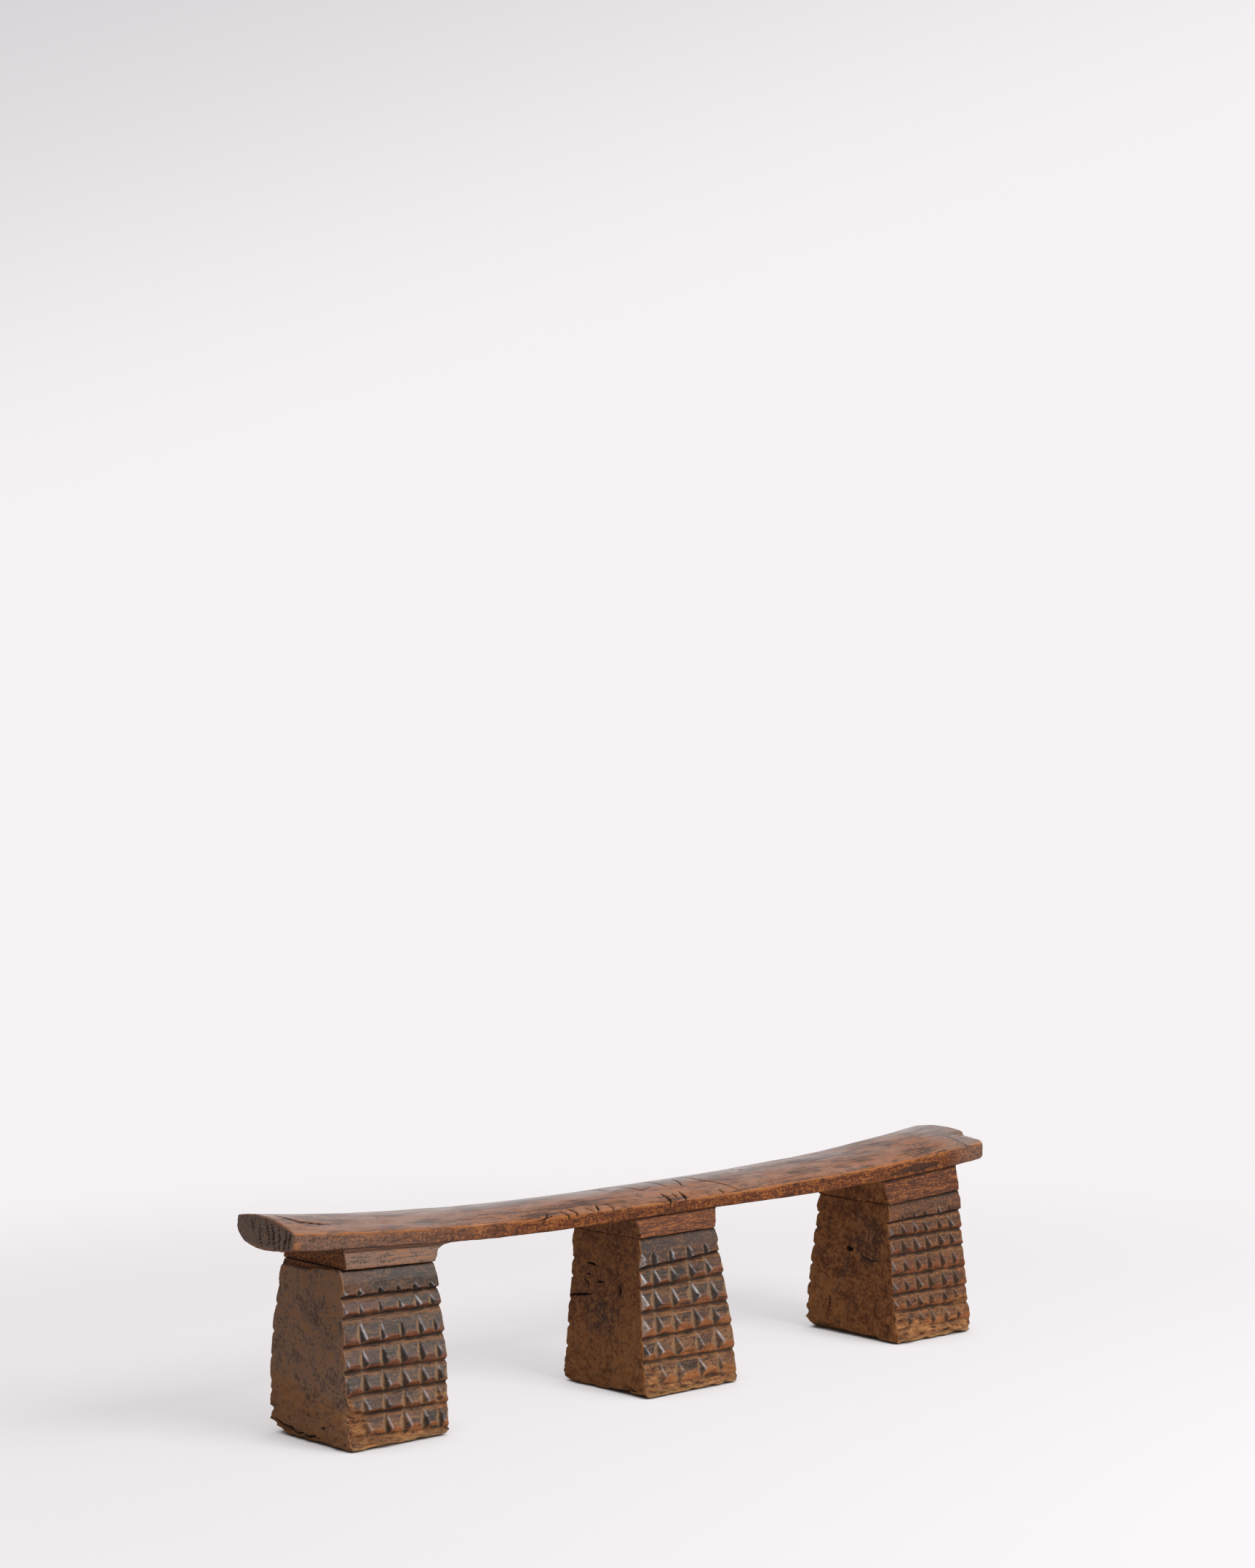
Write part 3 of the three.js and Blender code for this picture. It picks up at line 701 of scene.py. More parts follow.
def beam_surface(sizes):
    """The beam's points, quads and marks. Between the belly and the crown a point lies at its share
    of the height. The edges are rounded, the right end's front corner is broken off, and the
    nicks, the tool marks and the grain are cut in along the surface's own direction."""
    along = stops_to_places(np.array(BEAM_STOPS) / (2.0 * HALF_LENGTH) + 0.5, BEAM_STEPS)
    deep = stops_to_places(BEAM_DEEP_STOPS, BEAM_DEEP_STEPS)
    shares, quads = box_lattice(along, deep, np.linspace(0.0, 1.0, BEAM_UP_STEPS + 1))
    x = lerp(-HALF_LENGTH, HALF_LENGTH, shares[:, 0])
    box = np.column_stack([
        np.full(len(x), 2.0 * HALF_LENGTH),
        along_parabola(x, BEAM_BACK) - BEAM_FRONT,
        front_side(x),
    ])
    wear = sizes.edge_wear / MM
    waver = noise(np.column_stack([x, box[:, 1] * shares[:, 1], shares[:, 2] * 8.0]), 14.0, 5)
    at_ends = smooth(HALF_LENGTH - 14.0, HALF_LENGTH - 3.0, np.abs(x))
    radius = (wear * (1.1 + 0.4 * waver) + np.where(x > 0.0, 1.5, 0.4) * at_ends)[:, None]
    inner, on_edge = rounded(shares, box, np.minimum(radius, box.min(axis=1, keepdims=True) * 0.45))
    x = lerp(-HALF_LENGTH, HALF_LENGTH, inner[:, 0])
    low_y, low_z = belly(x, inner[:, 1])
    high_y = lerp(BEAM_FRONT, along_parabola(x, BEAM_BACK), inner[:, 1])
    high_z = crown_height(x, inner[:, 1], sizes.crown / MM)
    crumbled = layered_noise(np.column_stack([x, high_y, high_z]), (9.0, 6.0, 6.0), 71)
    chip_floor = front_edge(np.full_like(x, HALF_LENGTH)) + END_CHIP["floor"] + 0.5 * crumbled
    chip_floor = chip_floor + END_CHIP["slope"] * (HALF_LENGTH - x) / (HALF_LENGTH - END_CHIP["inner"])
    chip_floor = chip_floor + END_CHIP["rise"] * inner[:, 1]
    in_chip = smooth(END_CHIP["inner"] - 1.0, END_CHIP["inner"] + 3.0, x + 2.0 * crumbled)
    in_chip = in_chip * smooth(END_CHIP["back"] + 1.2, END_CHIP["back"] - 1.2, high_y + crumbled)
    high_z = np.minimum(high_z, lerp(high_z, chip_floor, in_chip))
    y = lerp(low_y, high_y, inner[:, 2])
    z = lerp(low_z, high_z, inner[:, 2])
    rough = layered_noise(np.column_stack([x, y, z]), (9.0, 6.0, 6.0), 71)

    points = np.column_stack([x, y, z])
    normals = outward(points, quads)
    top = smooth(0.35, 0.75, normals[:, 2])
    front = smooth(-0.5, -0.85, normals[:, 1])
    ends = smooth(0.6, 0.9, np.abs(normals[:, 0]))
    under = smooth(-0.2, -0.7, normals[:, 2])
    unrolled = np.where(front > 0.5, BEAM_FRONT - (front_edge(x) - z), y)
    nick, nick_mark = scored(np.column_stack([x, unrolled]), BEAM_NICKS, 3)
    nick, nick_mark = nick * np.maximum(top, front), nick_mark * np.maximum(top, front)
    crack, crack_mark = scored(np.column_stack([y, z]), END_CRACKS, 9)
    at_left_end = ends * (x < 0.0)
    adze = layered_noise(points, (46.0, 17.0, 17.0), 31, 2)
    gouges = layered_noise(points, (13.0, 3.4, 3.4), 37, 2)
    fibres = noise(points, (16.0, 0.9, 0.9), 41)
    roughness = lerp(0.35, 1.0, np.maximum(np.maximum(front, under), ends))
    height = sizes.tool_marks / MM * (0.9 * adze + 0.7 * gouges * roughness) + 0.14 * fibres * roughness
    height = height + ends * 0.5 * layered_noise(points, (5.0, 4.0, 9.0), 47)
    points = points + normals * (height - nick - crack * at_left_end)[:, None]
    corner = smooth(-297.0, -302.0, x + 2.2 * rough) * front
    marks = {
        "scored": np.maximum(nick_mark, crack_mark * at_left_end),
        "edge": np.maximum(on_edge * smooth(-0.7, 0.5, rough), corner),
        "top": top,
        "end": ends,
        "broken": in_chip * (shares[:, 2] > 0.99),
        # Painted shade along the wall of the chipped end's step
        "step": np.sin(np.pi * in_chip) * (shares[:, 2] > 0.99),
        "stain": stained(points, unrolled) * np.maximum(top, front),
        "bloom_and_sheen": bloom_and_sheen_share(points, rough),
        "rim": smooth(2.9, 0.5, front_edge(x) - z + 1.3 * rough) * front,
    }
    return points, quads, marks


def leg_faces(leg, height, seat):
    """The leg's four faces at a height, measured on the ridges: straight tapers with a swell."""
    share = 1.0 - height / seat
    middle = leg["middle"] + leg["foot_drift"] * share
    half = lerp(leg["seat_width"], leg["foot_width"], share) / 2.0
    bulge = 4.0 * share * (1.0 - share)
    front = lerp(BEAM_FRONT - 0.8, leg["foot_front"], share)
    back = lerp(leg["seat_back"], leg["foot_back"], share) + leg["back_swell"] * bulge
    return middle - half, middle + half + leg["side_swell"] * bulge, front, back


def row_heights(leg):
    """Heights of the grooves from the floor to the seat: at the left edge, at the right, on average."""
    left = np.array([0.0, *reversed(leg["grooves_left"]), leg["seat"][0]])
    right = np.array([0.0, *reversed(leg["grooves_right"]), leg["seat"][1]])
    return left, right, (left + right) / 2.0


def carving(leg, sizes, across, up, levels, relief, band_recess, seed):
    """How far a carved face lies behind its ridges, in mm, and the marks that go with it. Each row
    goes out from its upper groove to the ridge and back in to the lower one. The cuts are V-shaped,
    so the deeper of a row and of the cuts is what stays. Worn stretches are blended smooth."""
    random = np.random.default_rng(seed)
    rows = len(levels) - 1
    row = np.clip(np.searchsorted(levels, up, side="right") - 1, 0, rows - 1)
    place = np.clip((levels[row + 1] - up) / (levels[row + 1] - levels[row]), 0.0, 1.0)
    band = row == rows - 1
    foot = row == 0
    flat = np.column_stack([across * leg["seat_width"], up, up * 0.0])
    wavy = layered_noise(flat, (9.0, 14.0, 9.0), seed + 2, 2)
    ridge = leg["ridge"] + random.uniform(-0.035, 0.035, rows)[row] + leg["waver"] * wavy
    ridge = np.where(band, BAND_RIDGE, ridge)
    deep = sizes.groove_depth / MM * random.uniform(0.9, 1.1, rows)[row]
    deep = deep * lerp(*relief, up / levels[-1]) * (1.0 + 0.15 * wavy)
    rising = 1.0 - place / ridge
    falling = (place - ridge) / (1.0 - ridge)
    rising = np.where(band, band_recess / deep * np.clip(1.0 - place / 0.5, 0.0, 1.0), rising)
    falling = np.where(foot, 0.0, falling * np.where(row == 1, 0.5, 1.0))
    rising = np.where(foot, 0.5 - place / 0.9, rising)
    swell = deep * soft_max(np.maximum(rising, falling), np.zeros_like(up), 0.06)
    from_line = np.minimum(place, 1.0 - place + foot) * (levels[row + 1] - levels[row])
    at_foot = np.where(row == 0, place < 0.5, (row == 1) & (place > 0.5))
    crumbly = layered_noise(flat, (5.0, 2.0, 5.0), seed + 6, 2)
    line = np.clip(1.25 + 0.4 * wavy + 0.5 * crumbly - from_line / KNIFE_LINE - 0.5 * at_foot, 0.0, 1.0)
    under_lip = band * np.clip(1.3 - from_line / LIP_SHADOW, 0.0, 1.0)
    swell = swell + sizes.groove_line / MM * line

    columns = np.array(leg["columns"])
    shape = (rows, len(columns))
    drift = random.uniform(-0.55, 0.55, shape)
    cut_shares = leg["cut_share"]
    share = np.array([cut_shares[min(rows - 1 - r, len(cut_shares) - 1)] for r in range(rows)])
    floors = np.clip(share[:, None] * random.uniform(0.82, 1.14, shape), 0.2, 0.95)
    mouths = sizes.cut_width * leg["cut_half_width"] * random.uniform(0.8, 1.15, shape)
    rubbing = random.uniform(0.2, 1.0, shape)
    cut = np.full(len(up), NO_CUT)
    offset = np.zeros(len(up))
    rubbed = np.zeros(len(up))
    valley = np.zeros(len(up))
    for column, centre in enumerate(columns):
        between = 0 < column < len(columns) - 1
        outside = (column == len(columns) - 1) * 1.0 - (column == 0) * 0.6
        distance = (across - centre) * leg["seat_width"] - drift[row, column] * between - outside
        floor = floors[row, column] * deep
        band_floor = floor * np.clip((place - leg["band_cut"]) / 0.25, 0.0, 1.0) - 0.4 * (place < 0.8)
        floor = np.where(band, band_floor, floor)
        leaf = leg["leaf"] * (1.0 - 0.65 * smooth(0.4, 0.95, place))
        reach = mouths[row, column] * np.where(distance < 0.0, leaf, 1.0)
        depth = floor - np.maximum(np.abs(distance) - CUT_BOTTOM, 0.0) * deep / reach
        offset = np.where(depth > cut, distance, offset)
        rubbed = np.where(depth > cut, rubbing[row, column], rubbed)
        cut = np.maximum(cut, depth)
        if between:
            line_share = np.clip(1.35 - np.abs(distance) / VALLEY_HALF_WIDTH, 0.0, 1.0)
            valley = np.maximum(valley, line_share)
    cut = np.where(foot, NO_CUT, cut)
    valley = valley * ~band * (1.0 - 0.5 * foot)
    valley = valley * smooth(leg["valleys"] + 3.0, leg["valleys"] - 3.0, up)
    recess = soft_max(swell, cut, 0.2) + VALLEY_DEPTH * valley
    in_cut = smooth(-0.05, 0.25, cut - swell)
    # Painted highlight: a glint along the upper arris of each cut, as strong as the cut's random rubbing
    arris = rubbed * np.exp(-(((cut - swell) / ARRIS_WIDTH) ** 2)) * smooth(0.2, 0.8, offset)
    arris = arris * smooth(ridge + 0.08, ridge, place) * smooth(0.05, 0.3, place)

    worn = np.zeros(len(up))
    for centre, level, radius, strength in WORN_CARVING[leg["name"]]:
        distance = np.hypot(across - centre, (up / levels[-1] - level) * 1.3)
        worn = np.maximum(worn, strength * smooth(radius, 0.35 * radius, distance))
    recess = lerp(recess, 0.3 * recess + 0.32 * deep, worn)
    facet = smooth(ridge - 0.16, ridge + 0.05, place) * ~foot * (1.0 - 0.4 * band)
    marks = {
        # Painted shade: dark knife lines in the grooves and the shadow under the collar's lip
        "crease_shade": np.maximum(line, under_lip * (place < 0.5)) * (1.0 - 0.6 * worn),
        "ledge": smooth(0.3, 0.12, place) * ~band * (1.0 - in_cut),
        "facet": facet * (1.0 - in_cut),
        # Right walls of the cuts: patina and painted shade. Left walls and valleys: dust and painted light
        "cut": in_cut * smooth(-0.1, 0.3, offset) * (1.0 - worn),
        "leaf": np.maximum(in_cut * smooth(0.1, -0.3, offset), 0.85 * valley) * (1.0 - worn),
        # Painted highlight: glints in the half-cuts at the front corner
        "corner": in_cut * smooth(5.5, 4.5, across * leg["seat_width"]) * smooth(30.0, 45.0, up),
        # Painted highlight along the arrises
        "arris": arris * (1.0 - worn),
        "worn": np.maximum(worn, 0.6 * foot),
    }
    return recess, marks


def base_lift(leg, y, into, z):
    """How far the worn base of a left face stands off the floor, fading upwards and inwards."""
    places, heights = np.array(leg["base"]).T
    return np.interp(y, places, heights) * smooth(8.0, 3.0, into) * smooth(9.0, 0.0, z)


def side_unevenness(leg, sizes, points):
    """Height of the tool marks and of the grain on a leg's and a collar's sides, in mm."""
    adze = layered_noise(points, (30.0, 21.0, 27.0), leg["seed"] + 5, 2)
    lumps = layered_noise(points, (8.0, 3.0, 3.0), leg["seed"] + 7, 2)
    fibres = noise(points, FIBRE_GRAIN, leg["seed"] + 9)
    return sizes.tool_marks / MM * (1.5 * adze + 0.7 * lumps) + 0.1 * fibres


def leg_surface(leg, sizes):
    """One leg's points, quads and marks. The front and the back are carved faces, and a point
    between them lies at its share of the depth. The sides carry tool marks and cracks."""
    left_heights, right_heights, levels = row_heights(leg)
    columns = leg["columns"]
    heights = levels / levels[-1]
    lattice, quads = box_lattice(
        stops_to_places(columns, even_steps(columns, LEG_STEPS["across"])),
        np.linspace(0.0, 1.0, LEG_STEPS["deep"] + 1),
        stops_to_places(heights, even_steps(heights, LEG_STEPS["up"])),
    )
    foot_depth = leg["foot_back"] - leg["foot_front"]
    box = np.array([[leg["foot_width"], foot_depth, levels[-1]]])
    rough = layered_noise(lattice * box, (7.0, 7.0, 5.0), leg["seed"] + 3)
    near_base = smooth(0.08, 0.0, lattice[:, 2])
    radius = (sizes.edge_wear / MM * (0.7 + 0.3 * rough) + near_base * (2.0 + 0.8 * rough))[:, None]
    inner, on_edge = rounded(lattice, box, radius)
    inner[:, 2] = np.where(lattice[:, 2] > 0.5, lattice[:, 2], inner[:, 2])

    up = inner[:, 2] * levels[-1]
    z = lerp(np.interp(up, levels, left_heights), np.interp(up, levels, right_heights), inner[:, 0])
    wander = noise(np.column_stack([inner[:, 0] * 70.0, up, up * 0.0]), (16.0, 11.0, 9.0), leg["seed"])
    z = z + 0.35 * wander * smooth(0.0, 8.0, up) * smooth(levels[-1], levels[-1] - 6.0, up)
    left, right, front, back = leg_faces(leg, z, levels[-1])
    front_band, back_band = leg["band_recess"]
    front_recess, front_marks = carving(
        leg, sizes, inner[:, 0], up, levels, (1.0, 1.0), front_band, leg["seed"]
    )
    back_recess, back_marks = carving(
        leg, sizes, inner[:, 0], up, levels, leg["back_relief"], back_band, leg["seed"] + 1
    )
    x = lerp(left, right, inner[:, 0])
    y = lerp(front + front_recess, back - back_recess, inner[:, 1])
    z = z + base_lift(leg, y, x - left, z)
    hollows = noise(np.column_stack([x, y, z * 0.0]), (6.0, 6.0, 6.0), leg["seed"] + 17)
    hollows = np.maximum(0.0, hollows)
    near_rim = smooth(0.42, 0.5, np.abs(inner[:, :2] - 0.5).max(axis=1))
    z = z + leg["foot_wear"] * hollows * near_base * near_rim
    points = np.column_stack([x, y, z])

    normals = outward(points, quads)
    at_sides = (lattice[:, 0] < 1e-6) | (lattice[:, 0] > 1.0 - 1e-6)
    side = smooth(0.55, 0.85, np.abs(normals[:, 0])) * at_sides
    on_left = side * (lattice[:, 0] < 0.5)
    crack, crack_mark = scored(points[:, 1:], LEFT_FACE_MARKS[leg["name"]], leg["seed"])
    lumps = layered_noise(points, (9.0, 5.0, 3.6), leg["seed"] + 8, 2)
    fibres = noise(points, FIBRE_GRAIN, leg["seed"] + 9)
    under = smooth(-0.4, -0.8, normals[:, 2])
    height = side * side_unevenness(leg, sizes, points) + (1.0 - side) * (
        sizes.tool_marks / MM * 0.35 * lumps + 0.09 * fibres
    )
    worn = np.where(inner[:, 1] < 0.5, front_marks["worn"], back_marks["worn"]) + 0.6 * near_base
    height = height + under * (0.35 * rough - 0.35) + worn * (1.0 - under) * (2.6 * lumps - 0.8)
    torn = np.zeros(len(points))
    if leg["ledge"]:
        ledge = np.interp(y, *np.array(leg["ledge"]).T)
        torn = on_left * smooth(-0.6, 0.8, z - ledge + 0.7 * rough)
        height = height - torn * (leg["collar_inset"] + 0.8 * rough)
    points = points + normals * (height - crack * on_left)[:, None]
    points[:, 2] = np.clip(points[:, 2], 0.0, np.maximum(z, 0.0) + 2.0)

    on_front = inner[:, 1] < 0.5
    marks = {}
    for name in front_marks:
        marks[name] = np.where(on_front, front_marks[name], back_marks[name]) * (1.0 - side)
    marks["edge"] = on_edge * lerp(0.6, 1.0, near_base)
    marks["scored"] = crack_mark * on_left
    marks["side"] = side
    marks["torn"] = torn
    marks.update(side_looks(leg, points))
    return points, quads, marks


def side_looks(leg, points):
    """Where a leg's sides are dusty, which is below a line with a ragged border, and where hands
    or cloth have burnished them dark, which is in one ragged oval."""
    ragged = layered_noise(points, (20.0, 9.0, 9.0), leg["seed"] + 21)
    border = np.interp(points[:, 1], *np.array(leg["dusty"]).T)
    y, z, half_depth, half_height, strength = leg["burnished"]
    distance = np.hypot((points[:, 1] - y) / half_depth, (points[:, 2] - z) / half_height)
    burnished = strength * smooth(1.2, 0.6, distance + 0.45 * ragged)
    if "streak" in leg:
        line = (leg["streak"], STREAK_HALF_WIDTH, 0.0)
        burnished = np.maximum(burnished, 0.9 * scored(points[:, 1:], (line,), leg["seed"])[1])
    return {"dusty": smooth(7.0, -9.0, points[:, 2] - border + 8.0 * ragged), "burnished": burnished}


def collar_surface(leg, sizes):
    """One collar's points, quads and marks: it leans out to a lip over the carving, and its sides
    spread in a quarter round under the beam, into which its top reaches a little."""
    lattice, quads = box_lattice(
        np.linspace(0.0, 1.0, COLLAR_STEPS["across"] + 1),
        np.linspace(0.0, 1.0, COLLAR_STEPS["deep"] + 1),
        stops_to_places(COLLAR_UP_STOPS, COLLAR_UP_STEPS),
    )
    left_seat, right_seat = leg["seat"]
    seat = (left_seat + right_seat) / 2.0
    left, right, _, _ = leg_faces(leg, np.array([seat]), seat)
    left, right = left[0] + leg["collar_inset"], right[0]
    middle = np.array([leg["middle"]])
    top_height = (front_edge(middle) - front_side(middle))[0] + COLLAR_REACH
    box = np.array([[right - left, 60.0, top_height - seat]])
    wear = sizes.edge_wear / MM
    inner, on_edge = rounded(lattice, box, wear, (0.0, 1.0, 1.0))
    inner[:, 2] = np.where(lattice[:, 2] > 0.6, lattice[:, 2], inner[:, 2])
    up = inner[:, 2]
    round_start, round_length = QUARTER_ROUND
    share = np.clip((up - round_start) / round_length, 0.0, 1.0)
    spread = 1.0 - np.sqrt(np.clip(1.0 - share**2, 0.0, 1.0))
    lean = (1.0 - up) ** 1.1
    front_top, front_lip = leg["collar_front"]
    lip = smooth(0.3, 0.08, up) * 0.5
    bead = leg["bead"] * (smooth(0.75, 0.8, up) - 0.7 * np.exp(-(((up - BEAD_GROOVE) / 0.04) ** 2)))
    front = lerp(front_top, front_lip, lean) - lip - bead
    back_top = along_parabola(middle, BEAM_BACK)[0] - 1.2
    back = lerp(back_top, leg["seat_back"] - 0.6, lean) + lip + leg["collar_back"]
    right_side = leg["spread"][1] * spread + leg["collar_lean"] * up - 1.6 * smooth(0.3, 0.0, up)
    x = lerp(left - leg["spread"][0] * spread, right + right_side, inner[:, 0])
    y = lerp(front, back, inner[:, 1])
    low = lerp(left_seat, right_seat, inner[:, 0])
    z = lerp(low, belly_height(x, y) + COLLAR_REACH, up)
    points = np.column_stack([x, y, z])
    normals = outward(points, quads)
    side = smooth(0.55, 0.85, np.abs(normals[:, 0]))
    rough = layered_noise(points, (8.0, 3.0, 3.0), leg["seed"] + 13)
    fibres = noise(points, FIBRE_GRAIN, leg["seed"] + 9)
    adze = layered_noise(points, (30.0, 21.0, 9.0), leg["seed"] + 15, 2)
    torn = side * (lattice[:, 0] < 0.5) * (leg["collar_inset"] > 0.0)
    height = side * side_unevenness(leg, sizes, points) + (1.0 - side) * (
        sizes.tool_marks / MM * (0.5 * adze + 0.45 * rough) + 0.08 * fibres
    )
    height = height - torn * (0.6 + 0.9 * rough) * smooth(0.0, 0.2, up)
    points = points + normals * (height * smooth(1.01, 0.97, up))[:, None]
    under_beam = (z - belly_height(x, y)) / COLLAR_REACH
    under_bead = 0.9 * (leg["bead"] > 0.0) * np.exp(-(((up - BEAD_GROOVE) / 0.03) ** 2))
    marks = {
        "edge": on_edge * smooth(0.5, 0.1, up) * smooth(-0.8, 0.3, rough),
        "bead": (leg["bead"] > 0.0) * smooth(0.75, 0.79, up),
        "side": side,
        # Painted shade under the beam and in the groove under the bead
        "crease_shade": np.maximum(smooth(-0.7, -0.1, under_beam), under_bead),
        "torn": torn,
    }
    marks.update(side_looks(leg, points))
    return points, quads, marks


class Wire:
    """A socket's value in a shader, on which Python's operators add the Math nodes."""

    def __init__(self, shader, socket):
        self.shader = shader
        self.socket = socket

    def _math(self, operation, *values):
        inputs = dict(enumerate(values))
        return self.shader.add("ShaderNodeMath", {"operation": operation}, inputs)

    def __add__(self, other):
        return self._math("ADD", self, other)

    def __radd__(self, other):
        return self._math("ADD", other, self)

    def __sub__(self, other):
        return self._math("SUBTRACT", self, other)

    def __rsub__(self, other):
        return self._math("SUBTRACT", other, self)

    def __mul__(self, other):
        return self._math("MULTIPLY", self, other)

    def __rmul__(self, other):
        return self._math("MULTIPLY", other, self)

    def between(self, low, high):
        """A soft step of this value: 0 below low and 1 above high."""
        settings = {"interpolation_type": "SMOOTHSTEP", "clamp": True}
        inputs = {"Value": self, "From Min": low, "From Max": high}
        return self.shader.add("ShaderNodeMapRange", settings, inputs)


class Shader:
    """A material that is built by code, node by node."""

    def __init__(self, name, tree=None):
        if tree is None:
            self.material = bpy.data.materials.new(name)
            self.material.use_nodes = True
            tree = self.material.node_tree
        self.tree = tree
        self.tree.nodes.clear()

    def add(self, kind, settings=None, inputs=None, output=0):
        """Adds a node: its settings first, then the values or links of its sockets."""
        node = self.tree.nodes.new(kind)
        for key, value in (settings or {}).items():
            setattr(node, key, value)
        for key, value in (inputs or {}).items():
            if isinstance(value, Wire):
                self.tree.links.new(value.socket, node.inputs[key])
            else:
                node.inputs[key].default_value = value
        return Wire(self, node.outputs[output]) if node.outputs else node

    def blend(self, share, first, second):
        """A colour between two others."""
        return self.add("ShaderNodeMix", {"data_type": "RGBA"}, {0: share, 6: first, 7: second}, 2)

    def layers(self, colour, *layers):
        """A colour under layers of others, each with the share that it covers."""
        for share, layer in layers:
            colour = self.blend(share, colour, layer)
        return colour

    def mark(self, name):
        """One of the piece's own marks, from 0 to 1."""
        return self.add("ShaderNodeAttribute", {"attribute_name": name}, output=2)

    def marks(self, *names):
        """Several marks at once."""
        return [self.mark(name) for name in names]

    def ray(self, kind):
        """1 where a surface is met by a ray of this kind."""
        return self.add("ShaderNodeLightPath", output=f"Is {kind} Ray")

    def noise(self, size, detail=2.0, rough=0.55, turn=(0.0, 0.0, 0.0), shift=(0.0, 0.0, 0.0)):
        """Noise on the object's own coordinates, with features of the given size in mm."""
        coordinates = self.add("ShaderNodeTexCoord", output=3)
        inputs = {
            "Vector": coordinates,
            "Location": [part * MM for part in shift],
            "Rotation": turn,
            "Scale": [part * MM for part in size],
        }
        place = self.add("ShaderNodeMapping", {"vector_type": "TEXTURE"}, inputs)
        inputs = {"Vector": place, "Scale": 1.0, "Detail": detail, "Roughness": rough}
        return self.add("ShaderNodeTexNoise", {}, inputs)

    def height(self):
        """Height over the floor in metres."""
        coordinates = self.add("ShaderNodeTexCoord", output=3)
        return self.add("ShaderNodeSeparateXYZ", {}, {0: coordinates}, 2)

    def tones(self, value, spread, dark, middle, light):
        """Three colours in a row, for values round zero: dark below it, light above it."""
        colour = self.blend(value.between(-spread, 0.0), dark, middle)
        return self.blend(value.between(0.0, spread), colour, light)

    def finish_wood(self, colour, roughness, coat, relief, bump):
        inputs = {"Strength": bump, "Distance": 0.001, "Height": relief}
        normal = self.add("ShaderNodeBump", {}, inputs)
        inputs = {
            "Base Color": colour,
            "Roughness": roughness,
            "Specular IOR Level": 0.15,
            "Coat Weight": coat,
            "Coat Roughness": 0.3,
            "Normal": normal,
        }
        surface = self.add("ShaderNodeBsdfPrincipled", {}, inputs)
        self.add("ShaderNodeOutputMaterial", {}, {"Surface": surface})
        return self.material


def wood_grain(shader):
    """The patterns that all the wood shares. The grain runs along X, so it shows as streaks on the
    long faces and as specks on the end grain of the sides."""
    return {
        "cloud": shader.noise((60.0, 26.0, 26.0), 3.0),
        "mottle": shader.noise((18.0, 6.5, 6.5), 3.0, 0.65),
        "streak": shader.noise((26.0, 2.0, 2.0), 3.0, 0.6),
        "fibre": shader.noise((8.0, 1.0, 1.0), 3.0, 0.65),
        "grit": shader.noise((1.7, 1.7, 1.7), 4.0, 0.75),
    }


